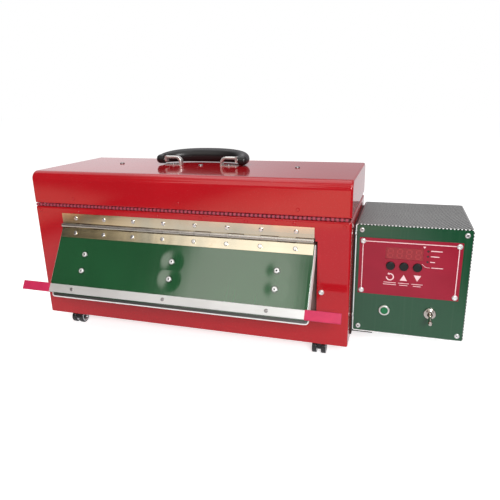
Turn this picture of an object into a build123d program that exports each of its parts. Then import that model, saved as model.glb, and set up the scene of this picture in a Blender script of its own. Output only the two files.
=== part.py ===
from build123d import *
import math
import os

# Bead annealing kiln: a sheet-metal kiln body with a lid hinged along its front seam, a bead door that
# swings out under the lid, and a control box bolted to its right end.  Millimetres, +Z up.
# Everything is laid out from the body's front left lower edge: X runs to the right along the front,
# Y runs to the back, Z is the height over the floor.  At the end all of it is moved together, so that
# the origin is the centre of the bottom of the whole object's bounding box.

# ---------------------------------------------------------------- driving dimensions
# shell and lid
BODY_W = 508.0            # left end to right end
BODY_D = 200.0            # front to back
BODY_H = 185.5            # height of the lower shell
LID_H = 50.5              # height of the lid shell
SEAM = 5.0                # open seam between the two shells, filled by the lid hinge in front
SHEET = 1.2               # sheet thickness of both shells
EDGE_R = 3.0              # bend radius of the shell edges
LID_BEND_R = 13.0         # large bend along the front and back of the lid
COLUMN_W = 48.0           # sheet left standing beside the door, at each end of the body
FLANGE = 11.0             # inward return flange at the open edges of both shells
FRONT_FLANGE = 14.0       # the same along the front, wide enough for the hinge leaves

# casters
CASTER_H = 24.0           # floor to the underside of the body
WHEEL_R = 10.0
WHEEL_W = 7.0
WHEEL_STEM_GAP = 0.5      # side clearance between wheel and stem
STEM_W = 5.6
STEM_D = 9.0
AXLE_R = 2.0
AXLE_FIT = 0.06           # running clearance of the axle in the stem
CASTER_PLATE = (24.0, 30.0, 1.5)
CASTER_INSET_X = 43.0
CASTER_INSET_Y = 19.0
CASTER_SCREW_Y = 11.5     # screws in front of and behind the stem

# insulation
WALL_GAP = 12.0           # air space between shell and brick
BRICK_FRONT_Y = 16.0      # front face of the brickwork
SLAB_H = 50.1             # thickness of the hearth slab
WALL_SEAT = 10.0          # the wall bricks stand this deep in a rebate round the hearth
FRONT_BRICK_D = 34.0
REAR_BRICK_D = 38.0
END_BRICK_W = 40.0
BRICK_TOP = 1.8           # the brickwork stands this much over the shell's top edge
BRICK_MEET = 0.4          # gap between the lid brick and the brickwork
BRICK_JOINT = 0.3         # dry joint between neighbouring bricks
LID_BRICK_CLEAR = 0.4     # lid brick to the inside of the lid

# heating element and probe
GROOVE_W = 9.0
GROOVE_D = 10.0
COIL_R = 3.0              # outside radius of the wound element
COIL_DEPTH = 5.0          # element centre behind the brick's face
ROWS = 4
ROW_Z0 = 30.0             # lowest row over the hearth
ROW_PITCH = 26.0
ROW_END = 26.0            # element turns this far from the chamber's ends
TAIL_R = 1.4
BUSHING_R = 5.0
BUSHING_BORE_GAP = 0.2
BUSHING_L = 16.0
BUSHING_COLLAR = (7.0, 2.0)   # radius and thickness of the collar against the box
PROBE_R = 3.0
PROBE_REACH = 34.0        # how far the probe looks into the chamber
PROBE_Y = 84.0
PROBE_Z = 92.0            # over the hearth
PROBE_HEAD = (10.0, 16.0, 14.0)

# bead door
DOOR_OPEN = 30.0          # the door is drawn as it stands ajar, in degrees from closed
PIN_DROP = 28.7           # hinge pin under the top edge of the body
PAN_W = BODY_W - 2 * COLUMN_W
HINGE_L = PAN_W - 4.0     # the hinge stops short of the pan's ends
HINGE_LEAF = 19.0         # pin centre to leaf edge
HINGE_T = 1.1
BARREL_R = 3.1
PIN_R = 1.25
PIN_FIT = 0.06
KNUCKLES = 16
KNUCKLE_GAP = 0.3
HINGE_RIVETS = 8
HINGE_RIVET_PITCH = HINGE_L / HINGE_RIVETS
HINGE_RIVET_ROW = 11.6    # pin centre to rivet row
HINGE_RIVET_HEAD_R = 3.3
HINGE_RIVET_HEAD_H = 1.5
PAN_TOP = 3.6             # pin centre to the pan's top edge, along the door
PAN_BOTTOM = 107.4
PAN_D = 12.0
PAN_T = 1.2
PAN_LIP = 6.1             # lip along the pan's back edge, under the bar
SEAL_R = 1.4
SEAL_CORNER = 5.0
OPENING_CLEAR = 2.4       # pan or seal to the body's door opening
PLUG_TOP = 24.0
PLUG_BOTTOM = 92.0
PLUG_D = 29.5
PLUG_SIDE = 5.0           # plug to the side of the brick opening
LINTEL_Z = 20.8           # underside of the brick lintel, under the pin
DOOR_SCREW_X = (-0.3738, -0.0109, 0.3786)     # pairs of screws from the door's middle, as shares of its width
DOOR_SCREW_S = (44.5, 70.5)
DOOR_SCREW_HEAD_R = 3.9
DOOR_SCREW_HEAD_H = 2.2
DOOR_SCREW_R = 2.0
BAR_W = 12.7
BAR_T = 3.2
BAR_L = BODY_W - 8.0
BAR_S = 94.6              # pin centre to the bar's upper edge
BAR_SCREW_X = (-0.3932, -0.0182, 0.3604)      # the same for the bar's screws
SLEEVE_L = 48.0
SLEEVE_T = 0.7

# lid hinge along the front seam
LID_PIN_Y = 0.8
LID_BARREL_R = 2.1
LID_PIN_R = 0.9
LID_LEAF_T = 0.8
LID_LEAF_W = 12.0
LID_KNUCKLE = 6.35
LID_KNUCKLE_GAP = 0.5
LID_HINGE_END = 3.0       # the barrel stops this far from both ends

# small fasteners on the shells
BODY_RIVETS = 8
BODY_RIVET_INSET = 9.0    # end rivets from the body's ends
BODY_RIVET_PITCH = (BODY_W - 2 * BODY_RIVET_INSET) / (BODY_RIVETS - 1)
BODY_RIVET_DROP = 6.8
RIVET_HEAD_R = 2.6
RIVET_HEAD_H = 0.9
RIVET_R = 1.6
RIVET_TAIL = 1.4
HOLE_GAP = 0.1            # a screw or rivet in its hole, all round
LID_RIVET_INSET = 73.5
LID_RIVET_PITCH = BODY_W / 2 - LID_RIVET_INSET
LID_RIVET_RISE = 9.0
COLUMN_SCREW_INSET = COLUMN_W - 9.0
COLUMN_SCREW_Z = 81.5
PAN_HEAD_R = 3.9
PAN_HEAD_H = 2.6
SCREW_R = 2.0
SMALL_R = 1.6             # small screws
LID_SCREW_INSET = 98.0
LID_SCREW_Y = 0.55 * BODY_D

# folding handle on the lid
HANDLE_X = BODY_W / 2 - 8.0
HANDLE_Y = LID_SCREW_Y + 3.0
HANDLE_SPAN = 99.0        # middle of one bracket to the middle of the other
BRACKET_W = 30.0
BRACKET_D = 13.0
BRACKET_H = 15.0
BRACKET_T = 3.6
BRACKET_STRAP = 9.0
BRACKET_BASE_T = 1.4
BRACKET_BEND = 10.0
HANDLE_PIN_Z = 9.4       # pivot over the lid
HANDLE_PIN_R = 2.6
HANDLE_PIN_L = 7.0
HANDLE_PIN_FIT = 0.08
GRIP_BOW = 42.0           # pivot to the middle of the grip
GRIP_RISE = 3.2           # the grip's middle stands this much over its pivot
GRIP_R = 11.8             # half height of the grip in the middle
GRIP_END_R = 7.4          # the same at its ends
GRIP_EYE_L = 14.0         # length of the round eye at each end
GRIP_FLAT = 0.97          # half width of the grip against its half height
GRIP_END_GAP = 1.8        # bracket strap to grip end
GRIP_END_ROUND = 5.8
BRACKET_ROUND = 1.3       # rounding of the strap's edges
# the grip's line from a pivot to its middle: outward share, share of the bow, share of the growth
GRIP_SHAPE = (
    (1.0, 0.0, 0.0),
    (0.985, 0.26, 0.22),
    (0.90, 0.55, 0.50),
    (0.70, 0.81, 0.76),
    (0.38, 0.965, 0.94),
    (0.0, 1.0, 1.0),
)
STRAP_EYE_R = 4.2         # bracket leg under the pivot

# control box
BOX_GAP = 2.0             # body's end to the box
BOX_Y = 45.0
BOX_RISE = 6.0            # box bottom over the body's bottom edge
BOX_W = 157.0
BOX_H = 167.0
BOX_D = BODY_D - BOX_Y     # its back is flush with the body's
BOX_T = 1.2
PANEL_T = 1.5
PANEL_EDGE = 0.4          # front panel to the inside of the cover
COVER_GRID = 11           # vent openings across and along, on the cover's top and right side
COVER_OPEN = 0.66         # share of each step that is open
COVER_MARGIN = 6.0        # plain edge round the openings
BOX_SCREW_INSET = 8.6
BRACKET_SHEET = BOX_GAP   # the bracket fills the gap
BRACKET_SHELF = 32.0
BRACKET_TAB = 11.0        # the bracket shows this far in front of the box
SIDE_SCREW_R = 3.0
OVERLAY = (6.0, 62.5, 145.0, 147.5)      # left, bottom, right, top on the box front
OVERLAY_T = 1.0
OVERLAY_SCREW = 5.0       # screw inset from the overlay's edges
OVERLAY_SCREW_R = 3.9
WINDOW = (43.0, 118.0, 94.0, 135.5)
WINDOW_T = 3.2
KEYS = {"cycle_key": 50.5, "up_key": 68.9, "down_key": 87.3}
KEY_Z = 107.8
KEY_R = 6.0
KEY_PROUD = 2.4
KEY_CLEAR = 0.35
KEY_L = 10.5
KEY_TRAVEL = 0.8
LAMP_X = 100.0
LAMP_Z = (132.9, 125.2, 117.2)
LAMP_R = 1.6
BOARD = (16.0, 70.0, 136.0, 142.0)
BOARD_T = 1.6
BOARD_BACK = 12.0         # board face behind the front panel's face
BUTTON_X = 45.5
BUTTON_Z = 37.7
BEZEL_R = 7.8
BEZEL_BORE = 5.6
BEZEL_PROUD = 2.4
BUTTON_CLEAR = 0.35
BUTTON_PROUD = 3.4
BUTTON_L = 16.0
BUTTON_TRAVEL = 1.6
TOGGLE_X = 109.2
TOGGLE_Z = 39.5
TOGGLE_NUT_R = 8.4
TOGGLE_NUT_T = 2.4
TOGGLE_BUSH_R = 5.9
TOGGLE_BUSH_L = 5.5
TOGGLE_BALL_R = 3.1
TOGGLE_PIN_R = 0.9
TOGGLE_PIN_FIT = 0.06
TOGGLE_PIN_L = 9.6        # the pin ends inside the wall of the bushing
LEVER_L = 24.0
LEVER_TILT = 14.0         # the lever stands this far off level, down at rest
INLET = (48.0, 27.0, 3.0)
INLET_POCKET = (24.0, 17.0, 14.0)
INLET_BODY = (28.0, 21.0, 18.0)
INLET_Z = 38.0

# ---------------------------------------------------------------- derived places
BODY_Z0 = CASTER_H
BODY_TOP = BODY_Z0 + BODY_H
LID_BOTTOM = BODY_TOP + SEAM
LID_TOP = LID_BOTTOM + LID_H
MID_X = BODY_W / 2
PIN_Y = -BARREL_R
PIN_Z = BODY_TOP - PIN_DROP
SEAL_S = PAN_BOTTOM + PAN_LIP
SEAL_Y = PAN_D + SEAL_R
OPEN_X0 = MID_X - PAN_W / 2 - OPENING_CLEAR
OPEN_X1 = MID_X + PAN_W / 2 + OPENING_CLEAR
OPEN_Z0 = PIN_Z - SEAL_S - OPENING_CLEAR
OPEN_Z1 = PIN_Z - 1.0
SLAB_Z0 = BODY_Z0 + SHEET
HEARTH_Z = SLAB_Z0 + SLAB_H
BRICK_Z1 = BODY_TOP + BRICK_TOP
BRICK_X0 = WALL_GAP
BRICK_X1 = BODY_W - WALL_GAP
BRICK_Y1 = BODY_D - WALL_GAP
CHAMBER_X0 = BRICK_X0 + END_BRICK_W
CHAMBER_X1 = BRICK_X1 - END_BRICK_W
CHAMBER_Y0 = BRICK_FRONT_Y + FRONT_BRICK_D
CHAMBER_Y1 = BRICK_Y1 - REAR_BRICK_D
DOORWAY_X0 = CHAMBER_X0 + 16.0
DOORWAY_X1 = CHAMBER_X1 - 16.0
DOORWAY_Z1 = PIN_Z - LINTEL_Z
LID_PIN_Z = BODY_TOP + SEAM / 2
BOX_X0 = BODY_W + BOX_GAP
BOX_Z0 = BODY_Z0 + BOX_RISE
HANDLE_PIVOT_Z = LID_TOP + HANDLE_PIN_Z
BAR_Y = -BAR_T
KEY_BACK = BOX_Y - OVERLAY_T - KEY_PROUD + KEY_L + KEY_TRAVEL + 0.4   # face of the key switches
# the sleeves come to rest on the body's front before the pan is quite flush
REST_GAP = math.degrees(math.asin((SLEEVE_T + 0.35) / (BAR_S - SLEEVE_T)))
DOOR_CLOSED = -DOOR_OPEN + math.ceil(10 * REST_GAP) / 10


# ---------------------------------------------------------------- small helpers
def block(x0, y0, z0, x1, y1, z1):
    """A box between two corners."""
    size = (x1 - x0, y1 - y0, z1 - z0)
    return Pos((x0 + x1) / 2, (y0 + y1) / 2, (z0 + z1) / 2) * Box(*size)


def rod(x, y, z, axis, r, length):
    """A cylinder that starts at a point and runs along +axis."""
    turn = {"X": Rot(0, 90, 0), "Y": Rot(-90, 0, 0), "Z": Rot(0, 0, 0)}[axis]
    bottom = (Align.CENTER, Align.CENTER, Align.MIN)
    return Pos(x, y, z) * turn * Cylinder(r, length, align=bottom)


def group(solids):
    """Separate solids that share one node."""
    return Compound(children=list(solids))


def near(shape_list, axis, value, tol=0.05):
    """The faces or edges whose centre lies at one value along an axis."""
    pick = {"X": lambda e: e.center().X, "Y": lambda e: e.center().Y, "Z": lambda e: e.center().Z}[axis]
    return [e for e in shape_list if abs(pick(e) - value) < tol]


def swing(shape, angle=-DOOR_OPEN):
    """Turns a piece of the closed door about its hinge pin."""
    return Pos(0, PIN_Y, PIN_Z) * Rot(angle, 0, 0) * Pos(0, -PIN_Y, -PIN_Z) * shape


def pan_screw(x, y, z, direction, head_r, head_h, shank_r, shank_l):
    """A pan head screw with a cross recess; its head's seat is at the point, the head along direction."""
    bottom = (Align.CENTER, Align.CENTER, Align.MIN)
    top = (Align.CENTER, Align.CENTER, Align.MAX)
    head = Cylinder(head_r, head_h, align=bottom)
    head = fillet(head.edges().group_by(Axis.Z)[-1], head_h * 0.7)
    slot = Pos(0, 0, head_h) * Box(head_r, head_r * 0.25, head_h * 0.9)
    head -= slot
    head -= Rot(0, 0, 90) * slot
    screw = head + Cylinder(shank_r, shank_l, align=top)
    turn = {
        "-Y": Rot(90, 0, 0),
        "+Y": Rot(-90, 0, 0),
        "+Z": Rot(0, 0, 0),
        "-Z": Rot(180, 0, 0),
        "+X": Rot(0, 90, 0),
    }[direction]
    return Pos(x, y, z) * turn * screw


def dome_rivet(x, y, z, direction, head_r, head_h, shank_r, shank_l):
    """A low domed rivet; its head's seat is at the point."""
    bottom = (Align.CENTER, Align.CENTER, Align.MIN)
    top = (Align.CENTER, Align.CENTER, Align.MAX)
    head = Cylinder(head_r, head_h, align=bottom)
    head = fillet(head.edges().group_by(Axis.Z)[-1], head_h * 0.85)
    rivet = head + Cylinder(shank_r, shank_l, align=top)
    turn = {"-Y": Rot(90, 0, 0), "+Y": Rot(-90, 0, 0), "+Z": Rot(0, 0, 0)}[direction]
    return Pos(x, y, z) * turn * rivet


def pitched(count, pitch, middle):
    """Places of a row of equal steps about its middle."""
    return [middle + (i - (count - 1) / 2) * pitch for i in range(count)]


# ---------------------------------------------------------------- lower shell and brickwork
def body_rivet_places():
    return [(x, BODY_TOP - BODY_RIVET_DROP) for x in pitched(BODY_RIVETS, BODY_RIVET_PITCH, MID_X)]


def column_screw_places():
    return [(x, BODY_Z0 + COLUMN_SCREW_Z) for x in (COLUMN_SCREW_INSET, BODY_W - COLUMN_SCREW_INSET)]


def hinge_rivet_x():
    return pitched(HINGE_RIVETS, HINGE_RIVET_PITCH, MID_X)


def side_screw_places():
    """Two screws that show on the bracket's tab, in front of the control box."""
    y = BOX_Y - BRACKET_TAB / 2
    return [(y, BOX_Z0 + BOX_H - 13.0), (y, BOX_Z0 + 28.0)]


def body_shell():
    outer = block(0, 0, BODY_Z0, BODY_W, BODY_D, BODY_TOP)
    outer = fillet(outer.edges().filter_by(Axis.Z), EDGE_R)
    outer = fillet(outer.edges().group_by(Axis.Z)[-1], EDGE_R)
    inner = block(SHEET, SHEET, BODY_Z0 - 1, BODY_W - SHEET, BODY_D - SHEET, BODY_TOP - SHEET)
    inner = fillet(inner.edges().filter_by(Axis.Z), EDGE_R - SHEET)
    inner = fillet(inner.edges().group_by(Axis.Z)[-1], EDGE_R - SHEET)
    mouth = block(FLANGE, FRONT_FLANGE, BODY_TOP - 2 * SHEET, BODY_W - FLANGE, BODY_D - FLANGE, BODY_TOP + 1)
    shell = outer - inner - mouth
    jamb_d = BRICK_FRONT_Y - BRICK_JOINT
    jamb = block(OPEN_X0 - SHEET, 0, OPEN_Z0 - SHEET, OPEN_X1 + SHEET, jamb_d, OPEN_Z1 + SHEET)
    doorway = block(OPEN_X0, -1, OPEN_Z0, OPEN_X1, jamb_d + 1, OPEN_Z1)
    shell = shell + jamb - doorway
    for x, z in body_rivet_places():
        shell -= rod(x, -1, z, "Y", RIVET_R + HOLE_GAP, SHEET + 2)
    for x, z in column_screw_places():
        shell -= rod(x, -1, z, "Y", SCREW_R + HOLE_GAP, SHEET + 2)
    for x in hinge_rivet_x():
        shell -= rod(x, -1, PIN_Z + HINGE_RIVET_ROW, "Y", RIVET_R + HOLE_GAP, SHEET + 2)
    for y, z in side_screw_places():
        shell -= rod(BODY_W - 2, y, z, "X", SCREW_R + HOLE_GAP, 3)
    for z in tail_heights():
        shell -= rod(BODY_W - 2, element_y(), z, "X", BUSHING_R, 3)
    shell -= rod(BODY_W - 2, PROBE_Y, HEARTH_Z + PROBE_Z, "X", PROBE_R, 3)
    return shell


def base_pan():
    pan = block(SHEET, SHEET, BODY_Z0, BODY_W - SHEET, BODY_D - SHEET, BODY_Z0 + SHEET)
    pan = fillet(pan.edges().filter_by(Axis.Z), EDGE_R - SHEET)
    for x, y in caster_screw_places():
        pan -= rod(x, y, BODY_Z0 - 1, "Z", SMALL_R + HOLE_GAP, SHEET + 2)
    return pan


def hearth_slab():
    slab = block(BRICK_X0, BRICK_FRONT_Y, SLAB_Z0, BRICK_X1, BRICK_Y1, HEARTH_Z - WALL_SEAT)
    x0, x1 = CHAMBER_X0 + BRICK_JOINT, CHAMBER_X1 - BRICK_JOINT
    y0, y1 = CHAMBER_Y0 + BRICK_JOINT, CHAMBER_Y1 - BRICK_JOINT
    slab += block(x0, y0, SLAB_Z0, x1, y1, HEARTH_Z)
    for x, y in caster_screw_places():
        if y > BRICK_FRONT_Y:
            slab -= rod(x, y, SLAB_Z0 - 1, "Z", SCREW_R, 6)
    return slab


def front_wall_brick():
    z0 = HEARTH_Z - WALL_SEAT
    wall = block(BRICK_X0, BRICK_FRONT_Y, z0, BRICK_X1, CHAMBER_Y0, BRICK_Z1)
    wall -= block(DOORWAY_X0, BRICK_FRONT_Y - 1, HEARTH_Z, DOORWAY_X1, CHAMBER_Y0 + 1, DOORWAY_Z1)
    return wall


def element_y():
    return CHAMBER_Y1 + COIL_DEPTH


def row_heights():
    return [HEARTH_Z + ROW_Z0 + i * ROW_PITCH for i in range(ROWS)]


def tail_heights():
    rows = row_heights()
    return [rows[0], rows[-1]]


def element_path():
    """Level rows joined by half turns, from the lowest row's tail to the highest row's."""
    y = element_y()
    rows = row_heights()
    x_in = CHAMBER_X0 + ROW_END
    x_out = CHAMBER_X1 - ROW_END
    turn_r = ROW_PITCH / 2
    pieces = []
    x = CHAMBER_X1
    for i, z in enumerate(rows):
        last = i == ROWS - 1
        end = x_in if i % 2 == 0 else x_out
        if last:
            end = CHAMBER_X1
        pieces.append(Line((x, y, z), (end, y, z)))
        if not last:
            side = -1 if i % 2 == 0 else 1
            middle = (end + side * turn_r, y, z + turn_r)
            pieces.append(ThreePointArc((end, y, z), middle, (end, y, z + ROW_PITCH)))
        x = end
    return Wire(pieces)


def rear_wall_brick():
    z0 = HEARTH_Z - WALL_SEAT
    wall = block(BRICK_X0, CHAMBER_Y1, z0, BRICK_X1, BRICK_Y1, BRICK_Z1)
    rows = row_heights()
    half = GROOVE_W / 2
    x_in = CHAMBER_X0 + ROW_END
    x_out = CHAMBER_X1 - ROW_END
    y0 = CHAMBER_Y1 - 1
    for i, z in enumerate(rows):
        right = BRICK_X1 + 1 if i in (0, ROWS - 1) else x_out
        wall -= block(x_in, y0, z - COIL_R, right, CHAMBER_Y1 + GROOVE_D, z + half)
    for i in range(ROWS - 1):
        x, side = (x_in, -1) if i % 2 == 0 else (x_out, 1)
        z = rows[i] + ROW_PITCH / 2
        ring = rod(x, y0, z, "Y", ROW_PITCH / 2 + half, GROOVE_D + 1)
        ring -= rod(x, y0 - 1, z, "Y", ROW_PITCH / 2 - half, GROOVE_D + 3)
        far = x + side * ROW_PITCH
        y1 = CHAMBER_Y1 + GROOVE_D
        wall -= ring & block(min(x, far), y0, z - ROW_PITCH, max(x, far), y1, z + ROW_PITCH)
    return wall


def end_wall_bricks():
    z0 = HEARTH_Z - WALL_SEAT
    y0 = CHAMBER_Y0 + BRICK_JOINT
    y1 = CHAMBER_Y1 - BRICK_JOINT
    left = block(BRICK_X0, y0, z0, CHAMBER_X0, y1, BRICK_Z1)
    right = block(CHAMBER_X1, y0, z0, BRICK_X1, y1, BRICK_Z1)
    right -= rod(CHAMBER_X1 - 1, PROBE_Y, HEARTH_Z + PROBE_Z, "X", PROBE_R + 0.5, END_BRICK_W + 2)
    return group([left, right])


def heating_element():
    path = element_path()
    profile = Plane(origin=(CHAMBER_X1, element_y(), row_heights()[0]), z_dir=(-1, 0, 0)) * Circle(COIL_R)
    coil = sweep(profile, path=path)
    tail_l = BODY_W + BOX_GAP + BOX_T + 14.0 - CHAMBER_X1
    for z in tail_heights():
        coil += rod(CHAMBER_X1 - 2, element_y(), z, "X", TAIL_R, tail_l + 2)
    return coil


def terminal_bushings():
    solids = []
    x0 = BODY_W + BOX_GAP + BOX_T + 5.0 - BUSHING_L
    for z in tail_heights():
        tube = rod(x0, element_y(), z, "X", BUSHING_R - 0.2, BUSHING_L)
        collar_r, collar_t = BUSHING_COLLAR
        tube += rod(BOX_X0 + BOX_T, element_y(), z, "X", collar_r, collar_t)
        tube -= rod(x0 - 1, element_y(), z, "X", TAIL_R + BUSHING_BORE_GAP, BUSHING_L + 2)
        solids.append(tube)
    return group(solids)


def thermocouple():
    x0 = CHAMBER_X1 - PROBE_REACH
    x1 = BOX_X0 + BOX_T
    z = HEARTH_Z + PROBE_Z
    probe = rod(x0, PROBE_Y, z, "X", PROBE_R - 0.3, x1 - x0)
    width, depth, height = PROBE_HEAD
    head = block(x1, PROBE_Y - depth / 2, z - height / 2, x1 + width, PROBE_Y + depth / 2, z + height / 2)
    return probe + head


def body_rivets():
    return group(
        dome_rivet(x, 0, z, "-Y", RIVET_HEAD_R, RIVET_HEAD_H, RIVET_R, SHEET + RIVET_TAIL)
        for x, z in body_rivet_places()
    )


def column_screws():
    return group(
        pan_screw(x, 0, z, "-Y", PAN_HEAD_R, PAN_HEAD_H, SCREW_R, 10.0)
        for x, z in column_screw_places()
    )


# ---------------------------------------------------------------- casters
def caster_centres():
    xs = (CASTER_INSET_X, BODY_W - CASTER_INSET_X)
    ys = (CASTER_INSET_Y, BODY_D - CASTER_INSET_Y)
    return {
        "wheels_front_left": (xs[0], ys[0]),
        "wheels_front_right": (xs[1], ys[0]),
        "wheels_rear_left": (xs[0], ys[1]),
        "wheels_rear_right": (xs[1], ys[1]),
    }


def caster_screw_places():
    return [(x, y + dy) for x, y in caster_centres().values() for dy in (-CASTER_SCREW_Y, CASTER_SCREW_Y)]


def caster_brackets():
    solids = []
    wide, deep, thick = CASTER_PLATE
    for x, y in caster_centres().values():
        plate = block(x - wide / 2, y - deep / 2, BODY_Z0 - thick, x + wide / 2, y + deep / 2, BODY_Z0)
        plate = fillet(plate.edges().filter_by(Axis.Z), 3.0)
        low = WHEEL_R - AXLE_R - 2.4
        stem = block(x - STEM_W / 2, y - STEM_D / 2, low, x + STEM_W / 2, y + STEM_D / 2, BODY_Z0 - thick)
        stem = fillet(stem.edges().filter_by(Axis.X).group_by(Axis.Z)[0], STEM_D / 2 - 0.6)
        stem -= rod(x - STEM_W, y, WHEEL_R, "X", AXLE_R + AXLE_FIT, STEM_W * 2)
        bracket = plate + stem
        for dy in (-CASTER_SCREW_Y, CASTER_SCREW_Y):
            bracket -= rod(x, y + dy, BODY_Z0 - thick - 1, "Z", SMALL_R + HOLE_GAP, thick + 2)
        solids.append(bracket)
    return group(solids)


def caster_screws():
    z = BODY_Z0 - CASTER_PLATE[2]
    return group(
        pan_screw(x, y, z, "-Z", 2.4, 1.6, SMALL_R, 5.0)
        for x, y in caster_screw_places()
    )


def wheel_pair(x, y):
    """Two wheels on one axle, which turns in the stem."""
    inner = STEM_W / 2 + WHEEL_STEM_GAP
    solids = [rod(x - inner - WHEEL_W, y, WHEEL_R, "X", AXLE_R, 2 * (inner + WHEEL_W))]
    for side in (-1, 1):
        start = x + inner if side == 1 else x - inner - WHEEL_W
        wheel = rod(start, y, WHEEL_R, "X", WHEEL_R, WHEEL_W)
        wheel = fillet(wheel.edges(), 1.2)
        outer = start + WHEEL_W - 1.6 if side == 1 else start - 0.4
        wheel -= rod(outer, y, WHEEL_R, "X", WHEEL_R * 0.62, 2.0)
        wheel -= rod(start - 1, y, WHEEL_R, "X", AXLE_R, WHEEL_W + 2)
        solids.append(wheel)
    return group(solids)


# ---------------------------------------------------------------- bead door
def knuckle_row(count, length, gap, first, owner):
    """Start and end of every second knuckle of a hinge that starts at X = first."""
    step = length / count
    return [
        (first + i * step + gap / 2, first + (i + 1) * step - gap / 2)
        for i in range(count)
        if i % 2 == owner
    ]


def door_hinge_leaf(owner):
    """One leaf with its knuckles; owner 0 is the upper leaf, 1 the door's, both drawn closed."""
    x0 = MID_X - HINGE_L / 2
    rows = knuckle_row(KNUCKLES, HINGE_L, KNUCKLE_GAP, x0, owner)
    side = 1 if owner == 0 else -1
    edge = PIN_Z + side * HINGE_LEAF
    root = PIN_Z + side * (BARREL_R + 0.5)
    leaf = block(x0, -HINGE_T, min(edge, root), x0 + HINGE_L, 0, max(edge, root))
    for start, end in rows:
        leaf += block(start, -HINGE_T, min(PIN_Z, root), end, 0, max(PIN_Z, root))
        leaf += rod(start, PIN_Y, PIN_Z, "X", BARREL_R, end - start)
    leaf -= rod(x0 - 1, PIN_Y, PIN_Z, "X", PIN_R + PIN_FIT, HINGE_L + 2)
    for x in hinge_rivet_x():
        leaf -= rod(x, -HINGE_T - 1, PIN_Z + side * HINGE_RIVET_ROW, "Y", RIVET_R + HOLE_GAP, HINGE_T + 2)
    return leaf


def door_hinge_upper_leaf():
    return door_hinge_leaf(0)


def door_hinge_lower_leaf():
    return swing(door_hinge_leaf(1))


def door_hinge_pin():
    x0 = MID_X - HINGE_L / 2
    return rod(x0 + 0.4, PIN_Y, PIN_Z, "X", PIN_R, HINGE_L - 0.8)


def hinge_rivet(x, z):
    shank = HINGE_T + SHEET + 0.9
    return dome_rivet(x, -HINGE_T, z, "-Y", HINGE_RIVET_HEAD_R, HINGE_RIVET_HEAD_H, RIVET_R, shank)


def upper_leaf_rivets():
    return group(hinge_rivet(x, PIN_Z + HINGE_RIVET_ROW) for x in hinge_rivet_x())


def lower_leaf_rivets():
    return group(swing(hinge_rivet(x, PIN_Z - HINGE_RIVET_ROW)) for x in hinge_rivet_x())


def door_screw_places():
    return [(MID_X + share * PAN_W, PIN_Z - s) for share in DOOR_SCREW_X for s in DOOR_SCREW_S]


def bar_screw_places():
    return [(MID_X + share * PAN_W, PIN_Z - BAR_S - BAR_W / 2) for share in BAR_SCREW_X]


def door_pan():
    x0, x1 = MID_X - PAN_W / 2, MID_X + PAN_W / 2
    z0, z1 = PIN_Z - PAN_BOTTOM, PIN_Z - PAN_TOP
    outer = block(x0, 0, z0, x1, PAN_D, z1)
    outer = fillet(outer.edges().group_by(Axis.Y)[0], 2.0)
    inner = block(x0 + PAN_T, PAN_T, z0 + PAN_T, x1 - PAN_T, PAN_D + 1, z1 - PAN_T)
    pan = outer - inner
    lip = block(x0, PAN_D - PAN_T, z0 - PAN_LIP, x1, PAN_D, z0 + PAN_T)
    lip = fillet(lip.edges().filter_by(Axis.Y).group_by(Axis.Z)[0], PAN_LIP * 0.9)
    pan += lip
    for x, z in door_screw_places():
        pan -= rod(x, -1, z, "Y", DOOR_SCREW_R + HOLE_GAP, PAN_T + 2)
    for x, z in bar_screw_places():
        pan -= rod(x, -1, z, "Y", SMALL_R + HOLE_GAP, PAN_T + 2)
    for x in hinge_rivet_x():
        pan -= rod(x, -1, PIN_Z - HINGE_RIVET_ROW, "Y", RIVET_R + HOLE_GAP, PAN_T + 2)
    return swing(pan)


def door_plug():
    """The insulating block behind the pan, which fills the brick doorway when the door is shut."""
    x0, x1 = DOORWAY_X0 + PLUG_SIDE, DOORWAY_X1 - PLUG_SIDE
    plug = block(x0, PAN_T, PIN_Z - PLUG_BOTTOM, x1, PAN_D + PLUG_D, PIN_Z - PLUG_TOP)
    plug = chamfer(plug.edges().group_by(Axis.Y)[-1], 2.0)
    for x, z in door_screw_places():
        plug -= rod(x, 0, z, "Y", DOOR_SCREW_R + HOLE_GAP, 26.0)
    return swing(plug)


def door_screws():
    return group(
        swing(pan_screw(x, 0, z, "-Y", DOOR_SCREW_HEAD_R, DOOR_SCREW_HEAD_H, DOOR_SCREW_R, 24.0))
        for x, z in door_screw_places()
    )


def door_seal():
    """A thin sealing cord around the back edge of the pan, with round corners."""
    x0, x1 = MID_X - PAN_W / 2 + SEAL_R, MID_X + PAN_W / 2 - SEAL_R
    z0, z1 = PIN_Z - PAN_BOTTOM - PAN_LIP + SEAL_R, PIN_Z - PAN_TOP - SEAL_R
    middle = Pos((x0 + x1) / 2, SEAL_Y, (z0 + z1) / 2) * Rot(90, 0, 0)
    path = middle * RectangleRounded(x1 - x0, z1 - z0, SEAL_CORNER)
    wire = path.faces()[0].outer_wire()
    start = wire.position_at(0)
    cord = sweep(Plane(origin=start, z_dir=wire.tangent_at(0)) * Circle(SEAL_R), path=wire)
    return swing(cord)


def bar_ends():
    x0 = MID_X - BAR_L / 2 - 0.5
    return x0, x0 + BAR_L


def door_bar():
    x0, x1 = bar_ends()
    z1 = PIN_Z - BAR_S
    bar = block(x0, BAR_Y, z1 - BAR_W, x1, 0, z1)
    bar = fillet(bar.edges().filter_by(Axis.X).group_by(Axis.Y)[0], 0.8)
    for x, z in bar_screw_places():
        bar -= rod(x, BAR_Y - 1, z, "Y", SMALL_R + HOLE_GAP, BAR_T + 2)
    return swing(bar)


def bar_screws():
    return group(
        swing(pan_screw(x, BAR_Y, z, "-Y", 2.7, 1.4, SMALL_R, BAR_T + 2.6))
        for x, z in bar_screw_places()
    )


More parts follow.
